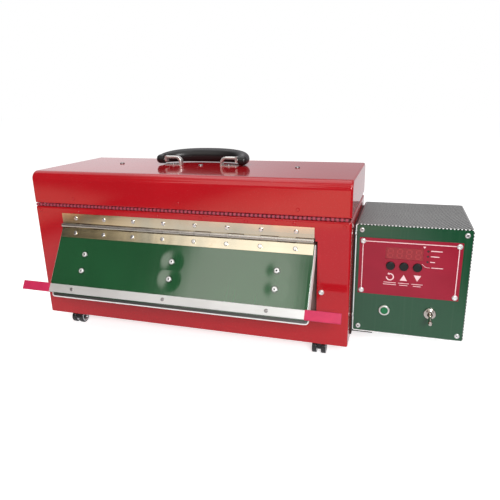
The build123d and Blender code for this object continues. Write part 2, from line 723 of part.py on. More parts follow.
def grip_sleeves():
    x0, x1 = bar_ends()
    z1 = PIN_Z - BAR_S
    solids = []
    for end, side in ((x0, 1), (x1, -1)):
        tip = end - side * SLEEVE_T
        root = end + side * SLEEVE_L
        low, high = min(tip, root), max(tip, root)
        sleeve = block(low, BAR_Y - SLEEVE_T, z1 - BAR_W - SLEEVE_T, high, SLEEVE_T, z1 + SLEEVE_T)
        sleeve = fillet(sleeve.edges().filter_by(Axis.X), SLEEVE_T * 1.5)
        inside = block(min(end, root + side), BAR_Y, z1 - BAR_W, max(end, root + side), 0, z1)
        sleeve -= inside
        if side == 1:
            sleeve -= block(x0 + 40.0, -0.02, z1 - BAR_W - 2, high + 1, 2, z1 + 2)
        else:
            sleeve -= block(low - 1, -0.02, z1 - BAR_W - 2, x1 - 40.0, 2, z1 + 2)
        solids.append(swing(sleeve))
    return group(solids)


# ---------------------------------------------------------------- lid
def lid_hinge_span():
    first = LID_HINGE_END
    count = int((BODY_W - 2 * LID_HINGE_END) // LID_KNUCKLE)
    return first, count, (BODY_W - 2 * LID_HINGE_END)


def lid_hinge_leaf(owner):
    """A leaf flat on its shell's front flange; owner 0 is the body's, 1 the lid's."""
    first, count, length = lid_hinge_span()
    if owner == 0:
        z0, z1 = BODY_TOP, BODY_TOP + LID_LEAF_T
    else:
        z0, z1 = LID_BOTTOM - LID_LEAF_T, LID_BOTTOM
    y0 = LID_PIN_Y + LID_BARREL_R + 0.3
    leaf = block(first, y0, z0, first + length, LID_LEAF_W, z1)
    root = LID_PIN_Y
    for start, end in knuckle_row(count, length, LID_KNUCKLE_GAP, first, owner):
        arm = block(start, root, z0, end, y0, z1)
        leaf += arm + rod(start, LID_PIN_Y, LID_PIN_Z, "X", LID_BARREL_R, end - start)
    leaf -= rod(first - 1, LID_PIN_Y, LID_PIN_Z, "X", LID_PIN_R + PIN_FIT, length + 2)
    return leaf


def lid_hinge_body_leaf():
    return lid_hinge_leaf(0)


def lid_hinge_lid_leaf():
    return lid_hinge_leaf(1)


def lid_hinge_pin():
    first, _, length = lid_hinge_span()
    return rod(first + 0.4, LID_PIN_Y, LID_PIN_Z, "X", LID_PIN_R, length - 0.8)


def lid_screw_places():
    return [(x, LID_SCREW_Y) for x in (LID_SCREW_INSET, HANDLE_X, BODY_W - LID_SCREW_INSET)]


def handle_screw_places():
    """One screw in each handle bracket's base plate."""
    return [(HANDLE_X + side * HANDLE_SPAN / 2, HANDLE_Y - BRACKET_D / 2 + 3.6) for side in (-1, 1)]


def lid_rivet_places():
    return [(x, LID_BOTTOM + LID_RIVET_RISE) for x in pitched(3, LID_RIVET_PITCH, MID_X)]


def lid_solid(inset):
    """The lid's outside, or its inside when inset by the sheet."""
    r = LID_BEND_R - inset
    lid = block(inset, inset, LID_BOTTOM + inset, BODY_W - inset, BODY_D - inset, LID_TOP - inset)
    long_top = lid.edges().filter_by(Axis.X).group_by(Axis.Z)[-1]
    lid = fillet(long_top, r)
    ends = near(lid.edges(), "X", inset) + near(lid.edges(), "X", BODY_W - inset)
    ends = [e for e in ends if e.center().Z > LID_BOTTOM + inset + 1]
    return fillet(ends, EDGE_R - inset)


def lid_shell():
    outer = lid_solid(0)
    outer = fillet(near(outer.edges(), "Z", LID_BOTTOM), 1.6)
    z0, z1 = LID_BOTTOM - 1, LID_BOTTOM + 2 * SHEET
    mouth = block(FLANGE, FRONT_FLANGE, z0, BODY_W - FLANGE, BODY_D - FLANGE, z1)
    shell = outer - lid_solid(SHEET) - mouth
    for x, y in lid_screw_places() + handle_screw_places():
        shell -= rod(x, y, LID_TOP - SHEET - 1, "Z", SCREW_R + HOLE_GAP, SHEET + 2)
    for x, z in lid_rivet_places():
        shell -= rod(x, -1, z, "Y", RIVET_R + HOLE_GAP, SHEET + 2)
    return shell


def lid_brick():
    z0 = BRICK_Z1 + BRICK_MEET
    z1 = LID_TOP - SHEET - LID_BRICK_CLEAR
    brick = block(BRICK_X0, BRICK_FRONT_Y, z0, BRICK_X1, BRICK_Y1, z1)
    brick = chamfer(brick.edges().filter_by(Axis.X).group_by(Axis.Z)[-1], 4.0)
    for x, y in lid_screw_places():
        brick -= rod(x, y, z1 - 24.0, "Z", SCREW_R + HOLE_GAP, 26.0)
    for x, y in handle_screw_places():
        brick -= rod(x, y, z1 - 6.0, "Z", SCREW_R + 1.5, 8.0)
    return brick


def lid_screws():
    screws = [
        pan_screw(x, y, LID_TOP, "+Z", PAN_HEAD_R, PAN_HEAD_H - 0.6, SCREW_R, 22.0)
        for x, y in lid_screw_places()
    ]
    screws += [
        pan_screw(x, y, LID_TOP + BRACKET_BASE_T, "+Z", 3.1, 1.8, SCREW_R, BRACKET_BASE_T + SHEET + 3.0)
        for x, y in handle_screw_places()
    ]
    return group(screws)


def lid_rivets():
    return group(
        dome_rivet(x, 0, z, "-Y", RIVET_HEAD_R, RIVET_HEAD_H, RIVET_R, SHEET + RIVET_TAIL)
        for x, z in lid_rivet_places()
    )


# ---------------------------------------------------------------- folding handle
def handle_bracket(side):
    """A base plate and a strap that arches from its inner end up and out to the grip's pivot pin."""
    x_mid = HANDLE_X + side * HANDLE_SPAN / 2
    inner = x_mid - side * BRACKET_W / 2
    outer = x_mid + side * BRACKET_W / 2
    y0, y1 = HANDLE_Y - BRACKET_D / 2, HANDLE_Y + BRACKET_D / 2
    base_z = LID_TOP + BRACKET_BASE_T
    top_z = LID_TOP + BRACKET_H
    left, right = min(inner, outer), max(inner, outer)
    plate = block(left, y0, LID_TOP, right, y1, base_z)
    plate = fillet(plate.edges().filter_by(Axis.Z), 3.0)
    strap_y0, strap_y1 = HANDLE_Y - BRACKET_STRAP / 2, HANDLE_Y + BRACKET_STRAP / 2
    arch = block(left, strap_y0, LID_TOP, right, strap_y1, top_z)
    arch = fillet(near(near(arch.edges().filter_by(Axis.Y), "X", inner), "Z", top_z), BRACKET_BEND)
    hollow_x = inner + side * BRACKET_T
    low_x, high_x = min(hollow_x, outer + side), max(hollow_x, outer + side)
    hollow = block(low_x, strap_y0 - 1, base_z, high_x, strap_y1 + 1, top_z - BRACKET_T)
    corner = near(near(hollow.edges().filter_by(Axis.Y), "X", hollow_x), "Z", top_z - BRACKET_T)
    hollow = fillet(corner, BRACKET_BEND - BRACKET_T)
    rims = near(arch.edges(), "Y", strap_y0) + near(arch.edges(), "Y", strap_y1)
    arch = fillet([rim for rim in rims if rim.center().Z > base_z], BRACKET_ROUND)
    arch -= hollow
    foot_x = outer - side * BRACKET_T
    leg_z = HANDLE_PIVOT_Z - STRAP_EYE_R
    leg = block(min(outer, foot_x), strap_y0, leg_z, max(outer, foot_x), strap_y1, top_z)
    leg = fillet(leg.edges().filter_by(Axis.X).group_by(Axis.Z)[0], 2.0)
    start = outer - side * BRACKET_T / 2
    length = HANDLE_PIN_L + BRACKET_T / 2
    pin = rod(min(start, start + side * length), HANDLE_Y, HANDLE_PIVOT_Z, "X", HANDLE_PIN_R, length)
    bracket = plate + arch + leg + pin
    screw_x, screw_y = handle_screw_places()[0 if side < 0 else 1]
    return bracket - rod(screw_x, screw_y, LID_TOP - 1, "Z", SCREW_R + HOLE_GAP, BRACKET_BASE_T + 2)


def handle_brackets():
    return group([handle_bracket(-1), handle_bracket(1)])


def grip_reach():
    """Middle of the handle to the inner face of an eye."""
    return HANDLE_SPAN / 2 + BRACKET_W / 2 + GRIP_END_GAP


def grip_sections():
    """Places along half of the grip: outward, back, up, heading from the X axis and half height."""
    eye_mid = grip_reach() + GRIP_EYE_L / 2
    spots = []
    for share, back, grow in GRIP_SHAPE:
        half = GRIP_END_R + (GRIP_R - GRIP_END_R) * grow
        spots.append((eye_mid * share, GRIP_BOW * back, GRIP_RISE * grow, half))
    return spots


def grip_frames():
    """The same for the whole grip from left to right, with the heading read off the neighbours."""
    half = grip_sections()
    line = [(-x, y, z, r) for x, y, z, r in half] + [(x, y, z, r) for x, y, z, r in reversed(half[:-1])]
    frames = []
    for i, (x, y, z, r) in enumerate(line):
        if i == 0:
            heading = 90.0
        elif i == len(line) - 1:
            heading = -90.0
        else:
            ax, ay = line[i - 1][:2]
            bx, by = line[i + 1][:2]
            heading = math.degrees(math.atan2(by - ay, bx - ax))
        frames.append((x, y, z, r, heading))
    return frames


def handle_grip():
    """A moulded grip that bows back from its two pivots; a round eye at each end takes the pin."""
    faces = []
    for x, y, z, r, heading in grip_frames():
        turn = math.radians(heading)
        along = Vector(math.cos(turn), math.sin(turn), 0)
        across = Vector(-math.sin(turn), math.cos(turn), 0)
        place = Plane(
            origin=(HANDLE_X + x, HANDLE_Y + y, HANDLE_PIVOT_Z + z),
            x_dir=across,
            z_dir=along,
        )
        faces.append(place * Ellipse(r * GRIP_FLAT, r))
    grip = loft(faces)
    reach = grip_reach()
    for side in (-1, 1):
        x0 = HANDLE_X + side * reach
        x1 = HANDLE_X + side * (reach + GRIP_EYE_L)
        eye = rod(min(x0, x1), HANDLE_Y, HANDLE_PIVOT_Z, "X", GRIP_END_R, GRIP_EYE_L)
        grip += fillet(near(eye.edges(), "X", x1), GRIP_END_ROUND)
    for side in (-1, 1):
        x0 = HANDLE_X + side * (reach - 2.0)
        x1 = HANDLE_X + side * (reach + HANDLE_PIN_L)
        grip -= rod(min(x0, x1), HANDLE_Y, HANDLE_PIVOT_Z, "X", HANDLE_PIN_R + HANDLE_PIN_FIT, abs(x1 - x0))
    return grip


# ---------------------------------------------------------------- control box
def box_point(x, z):
    """A place on the control box's front, from its lower left corner."""
    return BOX_X0 + x, BOX_Z0 + z


def box_screw_places():
    low, right, high = BOX_SCREW_INSET, BOX_W - BOX_SCREW_INSET, BOX_H - BOX_SCREW_INSET
    return [box_point(x, z) for x in (low, right) for z in (low, high)]


def overlay_screw_places():
    x0, z0, x1, z1 = OVERLAY
    d = OVERLAY_SCREW
    return [box_point(x, z) for x in (x0 + d, x1 - d) for z in (z0 + d, z1 - d)]


def box_bracket():
    """A bent plate between the body's end and the box, with a shelf under the box."""
    x0 = BODY_W
    x1 = x0 + BRACKET_SHEET
    y0 = BOX_Y - BRACKET_TAB
    y1 = BOX_Y + BOX_D - 12.0
    z0 = BOX_Z0 - BRACKET_SHEET
    plate = block(x0, y0, z0, x1, y1, BOX_Z0 + BOX_H - 4.0)
    shelf = block(x0, BOX_Y + 0.5, z0, x0 + BRACKET_SHELF, y1, BOX_Z0)
    bracket = plate + shelf
    for y, z in side_screw_places():
        bracket -= rod(x0 - 1, y, z, "X", SCREW_R + HOLE_GAP, BRACKET_SHEET + 2)
    for z in tail_heights():
        bracket -= rod(x0 - 1, element_y(), z, "X", BUSHING_R, BRACKET_SHEET + 2)
    bracket -= rod(x0 - 1, PROBE_Y, HEARTH_Z + PROBE_Z, "X", PROBE_R, BRACKET_SHEET + 2)
    return bracket


def grid_spans(start, end):
    """The openings' two ends in each step of an even row between the cover's margins."""
    step = (end - start - 2 * COVER_MARGIN) / COVER_GRID
    rim = step * (1 - COVER_OPEN) / 2
    return [(start + COVER_MARGIN + i * step + rim, start + COVER_MARGIN + (i + 1) * step - rim)
            for i in range(COVER_GRID)]


def cover_openings():
    x1, z1 = BOX_X0 + BOX_W, BOX_Z0 + BOX_H
    cuts = []
    for y_low, y_high in grid_spans(BOX_Y, BOX_Y + BOX_D):
        for x_low, x_high in grid_spans(BOX_X0, x1):
            cuts.append(block(x_low, y_low, z1 - BOX_T - 1, x_high, y_high, z1 + 1))
        for z_low, z_high in grid_spans(BOX_Z0, z1):
            cuts.append(block(x1 - BOX_T - 1, y_low, z_low, x1 + 1, y_high, z_high))
    return cuts


def box_cover():
    """The vented wrap: top, right side, bottom and left side, open in front and behind."""
    x1, z1 = BOX_X0 + BOX_W, BOX_Z0 + BOX_H
    outer = block(BOX_X0, BOX_Y, BOX_Z0, x1, BOX_Y + BOX_D, z1)
    outer = fillet(outer.edges().filter_by(Axis.Y), 2.0)
    inner = block(BOX_X0 + BOX_T, BOX_Y - 1, BOX_Z0 + BOX_T, x1 - BOX_T, BOX_Y + BOX_D + 1, z1 - BOX_T)
    inner = fillet(inner.edges().filter_by(Axis.Y), 0.8)
    cover = outer - inner - cover_openings()
    for z in tail_heights():
        cover -= rod(BOX_X0 - 1, element_y(), z, "X", BUSHING_R, BOX_T + 2)
    cover -= rod(BOX_X0 - 1, PROBE_Y, HEARTH_Z + PROBE_Z, "X", PROBE_R, BOX_T + 2)
    return cover


def box_end_plate(y0, y1, lips_to):
    """A plate that closes one end of the cover, with side flanges inside it."""
    edge = BOX_T + PANEL_EDGE
    x0, z0 = box_point(edge, edge)
    x1, z1 = box_point(BOX_W - edge, BOX_H - edge)
    plate = block(x0, y0, z0, x1, y1, z1)
    plate = fillet(plate.edges().filter_by(Axis.Y), 1.0)
    low, high = min(y1, lips_to), max(y0, lips_to)
    for z_low, z_high in ((z0 - PANEL_EDGE, z0 + PANEL_T), (z1 - PANEL_T, z1 + PANEL_EDGE)):
        plate += block(x0 + 18.0, low, z_low, x1 - 18.0, high, z_high)
    return plate


def box_front_panel():
    panel = box_end_plate(BOX_Y, BOX_Y + PANEL_T, BOX_Y + 14.0)
    for x, z in box_screw_places() + overlay_screw_places():
        panel -= rod(x, BOX_Y - 1, z, "Y", SMALL_R + HOLE_GAP, PANEL_T + 2)
    wx0, wz0, wx1, wz1 = WINDOW
    x0, z0 = box_point(wx0, wz0)
    x1, z1 = box_point(wx1, wz1)
    panel -= block(x0, BOX_Y - 1, z0, x1, BOX_Y + 3, z1)
    for x in KEYS.values():
        kx, kz = box_point(x, KEY_Z)
        panel -= rod(kx, BOX_Y - 1, kz, "Y", KEY_R + KEY_CLEAR, 4)
    for lamp in LAMP_Z:
        lx, lz = box_point(LAMP_X, lamp)
        panel -= rod(lx, BOX_Y - 1, lz, "Y", LAMP_R, 4)
    bx, bz = box_point(BUTTON_X, BUTTON_Z)
    panel -= rod(bx, BOX_Y - 1, bz, "Y", BEZEL_R - 1.0, 4)
    tx, tz = box_point(TOGGLE_X, TOGGLE_Z)
    panel -= rod(tx, BOX_Y - 1, tz, "Y", TOGGLE_BUSH_R, 4)
    return panel


def box_back_panel():
    back = BOX_Y + BOX_D
    panel = box_end_plate(back - PANEL_T, back, back - 14.0)
    x, z = box_point(BOX_W / 2, INLET_Z)
    wide, _, high = INLET_BODY[0], INLET_BODY[2], INLET_BODY[1]
    panel -= block(x - wide / 2, back - 4, z - high / 2, x + wide / 2, back + 1, z + high / 2)
    for sx, sz in inlet_screw_places() + back_screw_places():
        panel -= rod(sx, back - 4, sz, "Y", SMALL_R + HOLE_GAP, 6)
    return panel


def inlet_screw_places():
    x, z = box_point(BOX_W / 2, INLET_Z)
    return [(x - 20.0, z), (x + 20.0, z)]


def back_screw_places():
    return box_screw_places()


def box_screws():
    """Corner screws of both end plates, the bracket's two screws and the inlet's two."""
    front = [
        pan_screw(x, BOX_Y, z, "-Y", 3.6, 1.8, SMALL_R, PANEL_T + 6.0)
        for x, z in box_screw_places()
    ]
    back_y = BOX_Y + BOX_D
    back = [
        pan_screw(x, back_y, z, "+Y", 3.2, 1.8, SMALL_R, PANEL_T + 6.0)
        for x, z in back_screw_places()
    ]
    inlet = [
        pan_screw(x, back_y + INLET[2], z, "+Y", 2.8, 1.4, SMALL_R, INLET[2] + PANEL_T + 3.0)
        for x, z in inlet_screw_places()
    ]
    side = [
        pan_screw(BODY_W + BRACKET_SHEET, y, z, "+X", SIDE_SCREW_R, 1.8, SCREW_R, BRACKET_SHEET + SHEET + 3.0)
        for y, z in side_screw_places()
    ]
    return group(front + back + inlet + side)


def control_overlay():
    x0, z0, x1, z1 = OVERLAY
    px0, pz0 = box_point(x0, z0)
    px1, pz1 = box_point(x1, z1)
    plate = block(px0, BOX_Y - OVERLAY_T, pz0, px1, BOX_Y, pz1)
    plate = fillet(plate.edges().filter_by(Axis.Y), 1.0)
    wx0, wz0, wx1, wz1 = WINDOW
    ax0, az0 = box_point(wx0, wz0)
    ax1, az1 = box_point(wx1, wz1)
    plate -= block(ax0, BOX_Y - 3, az0, ax1, BOX_Y + 1, az1)
    for x in KEYS.values():
        kx, kz = box_point(x, KEY_Z)
        plate -= rod(kx, BOX_Y - 3, kz, "Y", KEY_R + KEY_CLEAR, 4)
    for lamp in LAMP_Z:
        lx, lz = box_point(LAMP_X, lamp)
        plate -= rod(lx, BOX_Y - 3, lz, "Y", LAMP_R, 4)
    for x, z in overlay_screw_places():
        plate -= rod(x, BOX_Y - 3, z, "Y", SMALL_R + HOLE_GAP, 4)
    return plate


def overlay_screws():
    return group(
        pan_screw(x, BOX_Y - OVERLAY_T, z, "-Y", OVERLAY_SCREW_R, 2.4, SMALL_R, OVERLAY_T + PANEL_T + 3.0)
        for x, z in overlay_screw_places()
    )


def display_window():
    """The lens of the four figure display, a little under the overlay's face."""
    wx0, wz0, wx1, wz1 = WINDOW
    gap = 0.15
    x0, z0 = box_point(wx0 + gap, wz0 + gap)
    x1, z1 = box_point(wx1 - gap, wz1 - gap)
    y0 = BOX_Y - OVERLAY_T + 0.3
    lens = block(x0, y0, z0, x1, y0 + WINDOW_T, z1)
    case = block(x0, y0 + WINDOW_T, z0, x1, BOX_Y + BOARD_BACK, z1)
    return lens + case


def indicator_lamps():
    solids = []
    for lamp in LAMP_Z:
        x, z = box_point(LAMP_X, lamp)
        y0 = BOX_Y - OVERLAY_T - 0.3
        solids.append(rod(x, y0, z, "Y", LAMP_R - 0.1, BOX_Y + BOARD_BACK - y0))
    return group(solids)


def control_key(x):
    kx, kz = box_point(x, KEY_Z)
    y0 = BOX_Y - OVERLAY_T - KEY_PROUD
    cap = rod(kx, y0, kz, "Y", KEY_R, KEY_L)
    return fillet(cap.edges().group_by(Axis.Y)[0], 0.7)


def controller_board():
    bx0, bz0, bx1, bz1 = BOARD
    x0, z0 = box_point(bx0, bz0)
    x1, z1 = box_point(bx1, bz1)
    y0 = BOX_Y + BOARD_BACK
    board = block(x0, y0, z0, x1, y0 + BOARD_T, z1)
    for px, pz in ((x0 + 4, z0 + 4), (x1 - 4, z0 + 4), (x0 + 4, z1 - 4), (x1 - 4, z1 - 4)):
        board += rod(px, BOX_Y + PANEL_T, pz, "Y", 2.5, BOARD_BACK - PANEL_T)
    for key_x in KEYS.values():
        sx, sz = box_point(key_x, KEY_Z)
        board += rod(sx, KEY_BACK, sz, "Y", 2.5, y0 - KEY_BACK)
    board += block(x0 + 20, y0 + BOARD_T, z0 + 10, x0 + 50, y0 + BOARD_T + 6, z0 + 30)
    board += block(x1 - 50, y0 + BOARD_T, z0 + 14, x1 - 15, y0 + BOARD_T + 12, z0 + 30)
    return board


def relay():
    """A cube relay on the box's back panel."""
    x, z = box_point(34.0, 88.0)
    back = BOX_Y + BOX_D - PANEL_T
    can = block(x, back - 48.0, z, x + 28.0, back, z + 36.0)
    return fillet(can.edges().filter_by(Axis.Y), 2.0)


def transformer():
    """A small mains transformer on the floor of the box: laminations with a wound bobbin."""
    x, z = box_point(98.0, BOX_T)
    y = BOX_Y + 84.0
    core = block(x, y, z, x + 42.0, y + 18.0, z + 36.0)
    bobbin = block(x + 9.0, y - 9.0, z + 6.0, x + 33.0, y + 27.0, z + 30.0)
    return core + fillet(bobbin.edges().filter_by(Axis.X), 3.0)


def power_inlet():
    """An appliance inlet in the back panel, with three blades in its pocket."""
    x, z = box_point(BOX_W / 2, INLET_Z)
    back = BOX_Y + BOX_D
    wide, high, thick = INLET
    face = block(x - wide / 2, back, z - high / 2, x + wide / 2, back + thick, z + high / 2)
    face = fillet(face.edges().filter_by(Axis.Y), 4.0)
    bw, bh, bd = INLET_BODY
    gap = 0.2
    shell = block(x - bw / 2 + gap, back - bd, z - bh / 2 + gap, x + bw / 2 - gap, back, z + bh / 2 - gap)
    pw, ph, pd = INLET_POCKET
    pocket = block(x - pw / 2, back + thick - pd, z - ph / 2, x + pw / 2, back + thick + 1, z + ph / 2)
    pocket = chamfer(pocket.edges().filter_by(Axis.Y).group_by(Axis.Z)[-1], 4.0)
    inlet = face + shell - pocket
    for bx, bz in ((-7.0, -2.0), (0.0, 2.0), (7.0, -2.0)):
        root, tip = back + thick - pd - 1, back - 3.0
        blade = block(x + bx - 1.0, root, z + bz - 2.0, x + bx + 1.0, tip, z + bz + 2.0)
        inlet += blade
    for sx, sz in inlet_screw_places():
        inlet -= rod(sx, back - 1, sz, "Y", SMALL_R + HOLE_GAP, thick + 2)
    return inlet


def button_bezel():
    x, z = box_point(BUTTON_X, BUTTON_Z)
    ring = rod(x, BOX_Y - BEZEL_PROUD, z, "Y", BEZEL_R, BEZEL_PROUD)
    ring = fillet(ring.edges().group_by(Axis.Y)[0], 1.0)
    ring += rod(x, BOX_Y, z, "Y", BEZEL_R - 1.2, PANEL_T + 3.0)
    ring -= rod(x, BOX_Y - BEZEL_PROUD - 1, z, "Y", BEZEL_BORE, BEZEL_PROUD + PANEL_T + 5.0)
    return ring


def start_button():
    x, z = box_point(BUTTON_X, BUTTON_Z)
    cap = rod(x, BOX_Y - BUTTON_PROUD, z, "Y", BEZEL_BORE - BUTTON_CLEAR, BUTTON_L)
    return fillet(cap.edges().group_by(Axis.Y)[0], 1.0)


def button_contact_block():
    """The switch body behind the panel, bored for the button's stem."""
    x, z = box_point(BUTTON_X, BUTTON_Z)
    y0 = BOX_Y + PANEL_T + 3.0
    body = block(x - 8.0, y0, z - 8.0, x + 8.0, y0 + 22.0, z + 8.0)
    body -= rod(x, y0 - 1, z, "Y", BEZEL_BORE, 13.0)
    return body


def toggle_nut():
    """Threaded bushing with its dress nut."""
    x, z = box_point(TOGGLE_X, TOGGLE_Z)
    nut = rod(x, BOX_Y - TOGGLE_NUT_T, z, "Y", TOGGLE_NUT_R, TOGGLE_NUT_T)
    nut = fillet(nut.edges().group_by(Axis.Y)[0], 0.8)
    nut += rod(x, BOX_Y - TOGGLE_BUSH_L, z, "Y", TOGGLE_BUSH_R - 0.1, TOGGLE_BUSH_L + PANEL_T)
    nut -= rod(x, BOX_Y - TOGGLE_BUSH_L - 1, z, "Y", TOGGLE_BALL_R + 0.8, TOGGLE_BUSH_L + PANEL_T + 2)
    hole_l = TOGGLE_PIN_L + 0.8
    px, py, pz = toggle_pivot()
    nut -= rod(px - hole_l / 2, py, pz, "X", TOGGLE_PIN_R + TOGGLE_PIN_FIT, hole_l)
    return nut


def toggle_body():
    x, z = box_point(TOGGLE_X, TOGGLE_Z)
    y0 = BOX_Y + PANEL_T
    body = block(x - 9.0, y0, z - 15.0, x + 9.0, y0 + 24.0, z + 15.0)
    body -= rod(x, y0 - 1, z, "Y", 5.0, 9.0)
    for dz in (-9.0, 0.0, 9.0):
        body += block(x - 3.0, y0 + 24.0, z + dz - 0.5, x + 3.0, y0 + 32.0, z + dz + 0.5)
    return body


def toggle_pivot():
    x, z = box_point(TOGGLE_X, TOGGLE_Z)
    return x, BOX_Y - 2.0, z


def toggle_lever():
    """A tapered bat with a ball at its pivot, down at rest."""
    lean = math.radians(LEVER_TILT)
    x, y, z = toggle_pivot()
    neck, tip = 1.9, 3.0
    outline = Polyline((0, 0), (neck, 0), (tip, LEVER_L - 2.2), (tip - 0.9, LEVER_L), (0, LEVER_L), (0, 0))
    bat = revolve(make_face(Plane.XZ * outline), Axis.Z, 360)
    ball = Sphere(TOGGLE_BALL_R)
    lever = bat + ball + rod(-TOGGLE_PIN_L / 2, 0, 0, "X", TOGGLE_PIN_R, TOGGLE_PIN_L)
    return Pos(x, y, z) * Rot(90 + math.degrees(lean), 0, 0) * lever


# ---------------------------------------------------------------- assembly
PIECES = {
    "body_shell": body_shell,
    "base_pan": base_pan,
    "hearth_slab": hearth_slab,
    "front_wall_brick": front_wall_brick,
    "rear_wall_brick": rear_wall_brick,
    "end_wall_bricks": end_wall_bricks,
    "heating_element": heating_element,
    "terminal_bushings": terminal_bushings,
    "thermocouple": thermocouple,
    "body_rivets": body_rivets,
    "column_screws": column_screws,
    "caster_brackets": caster_brackets,
    "caster_screws": caster_screws,
    "door_hinge_upper_leaf": door_hinge_upper_leaf,
    "door_hinge_pin": door_hinge_pin,
    "upper_leaf_rivets": upper_leaf_rivets,
    "lid_hinge_body_leaf": lid_hinge_body_leaf,
    "lid_hinge_pin": lid_hinge_pin,
    "box_bracket": box_bracket,
    "box_cover": box_cover,
    "box_front_panel": box_front_panel,
    "box_back_panel": box_back_panel,
    "box_screws": box_screws,
    "control_overlay": control_overlay,
    "overlay_screws": overlay_screws,
    "display_window": display_window,
    "indicator_lamps": indicator_lamps,
    "controller_board": controller_board,
    "relay": relay,
    "transformer": transformer,
    "power_inlet": power_inlet,
    "button_bezel": button_bezel,
    "button_contact_block": button_contact_block,
    "toggle_nut": toggle_nut,
    "toggle_body": toggle_body,
    "start_button": start_button,
    "toggle_lever": toggle_lever,
    "lid_shell": lid_shell,
    "lid_brick": lid_brick,
    "lid_hinge_lid_leaf": lid_hinge_lid_leaf,
    "lid_screws": lid_screws,
    "lid_rivets": lid_rivets,
    "handle_brackets": handle_brackets,
    "handle_grip": handle_grip,
    "door_hinge_lower_leaf": door_hinge_lower_leaf,
    "lower_leaf_rivets": lower_leaf_rivets,
    "door_pan": door_pan,
    "door_plug": door_plug,
    "door_screws": door_screws,
    "door_seal": door_seal,
    "door_bar": door_bar,
    "bar_screws": bar_screws,
    "grip_sleeves": grip_sleeves,
}


def build_all():
    """Every node's shape, in the layout frame."""
    shapes = {name: make() for name, make in PIECES.items()}
    for name, x in KEYS.items():
        shapes[name] = control_key(x)
    for name, (x, y) in caster_centres().items():
        shapes[name] = wheel_pair(x, y)
    return shapes


def origin_point(shapes):
    """Centre of the bottom of the bounding box of all the pieces."""
    boxes = [shape.bounding_box() for shape in shapes.values()]
    x0, x1 = min(b.min.X for b in boxes), max(b.max.X for b in boxes)
    y0, y1 = min(b.min.Y for b in boxes), max(b.max.Y for b in boxes)
    return (x0 + x1) / 2, (y0 + y1) / 2, min(b.min.Z for b in boxes)


def main():
    os.makedirs("parts", exist_ok=True)
    shapes = build_all()
    ox, oy, oz = origin_point(shapes)
    print("origin in the layout frame:", round(ox, 4), round(oy, 4), round(oz, 4))
    for name, shape in shapes.items():
        export_step(Pos(-ox, -oy, -oz) * shape, os.path.join("parts", name + ".step"))


if __name__ == "__main__":
    main()
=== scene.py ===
import math

import bmesh
import bpy
from mathutils import Matrix, Vector


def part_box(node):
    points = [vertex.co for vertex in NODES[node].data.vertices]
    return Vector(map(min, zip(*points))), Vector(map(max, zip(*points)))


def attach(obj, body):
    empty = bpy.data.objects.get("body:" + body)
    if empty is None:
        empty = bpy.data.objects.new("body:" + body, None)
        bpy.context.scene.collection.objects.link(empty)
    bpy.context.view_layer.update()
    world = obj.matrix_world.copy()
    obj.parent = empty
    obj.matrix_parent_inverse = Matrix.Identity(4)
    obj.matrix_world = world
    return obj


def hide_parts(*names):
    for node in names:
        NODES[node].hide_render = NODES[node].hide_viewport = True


bl_info = {
    "name": "Bead annealing kiln dressing",
    "version": (1, 0, 0),
    "blender": (4, 5, 0),
    "location": "View3D > Sidebar > Kiln",
    "description": "Finishes, fine pieces and a plain stage for the packed kiln",
    "category": "Object",
}

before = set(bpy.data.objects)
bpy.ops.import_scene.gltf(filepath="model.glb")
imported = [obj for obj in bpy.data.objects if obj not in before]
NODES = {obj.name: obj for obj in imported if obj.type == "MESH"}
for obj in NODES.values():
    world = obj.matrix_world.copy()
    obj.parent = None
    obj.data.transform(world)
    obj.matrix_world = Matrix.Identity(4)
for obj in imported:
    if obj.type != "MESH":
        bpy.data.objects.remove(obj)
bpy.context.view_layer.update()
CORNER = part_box("body_shell")[0]
MM = 0.001


# ---------------------------------------------------------------- places
def at(x, y, z):
    """A point given in millimetres from the body's left front lower corner, with z over the floor."""
    return Vector((CORNER.x + x * MM, CORNER.y + y * MM, z * MM))


DOOR_PIN = at(0, -3.1, 180.8)
DOOR_MID = at(254, 0, 0).x
DOOR_AJAR = math.radians(30)
# the door's half width, its lower edge down from its pin, and the radius of its corners
DOOR_HALF, DOOR_EDGE, RIM_CORNER = 0.2060, 0.1135, 0.0055
# its screws, from its middle and down from its pin
DOOR_SCREWS = tuple((x, down) for x in (-0.154, -0.0045, 0.156) for down in (0.0445, 0.0705))
LID_PIN = at(3.0, 0.8, 212.0)
LID_KNUCKLE = 0.00635
# faces of the control box, in millimetres behind the body's front
OVERLAY_FACE = 44.0
WINDOW_FACE = (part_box("display_window")[0].y - CORNER.y) / MM


# ---------------------------------------------------------------- what a user may change
class KilnColours(bpy.types.PropertyGroup):
    def tone(label, text, value):
        return bpy.props.FloatVectorProperty(name=label, description=text, subtype="COLOR", size=3,
                                             min=0, max=1, default=value)

    enamel: tone("Enamel red", "Baked paint of the body and the lid", (0.43, 0.0075, 0.013))
    green: tone("Panel green", "Paint of the bead door and the control box ends", (0.011, 0.078, 0.026))
    leaf: tone("Hinge metal", "Pale brass of the door hinge leaves", (0.76, 0.695, 0.545))
    sleeve: tone("Sleeve pink", "Vinyl sleeves on the door bar", (0.56, 0.018, 0.085))
    overlay: tone("Overlay crimson", "Plastic sheet round the display", (0.31, 0.010, 0.030))
    print_ink: tone("Print", "Lines and symbols printed on the overlay", (0.92, 0.64, 0.67))
    sheet: tone("Cover sheet", "Perforated cover of the control box", (0.50, 0.525, 0.505))


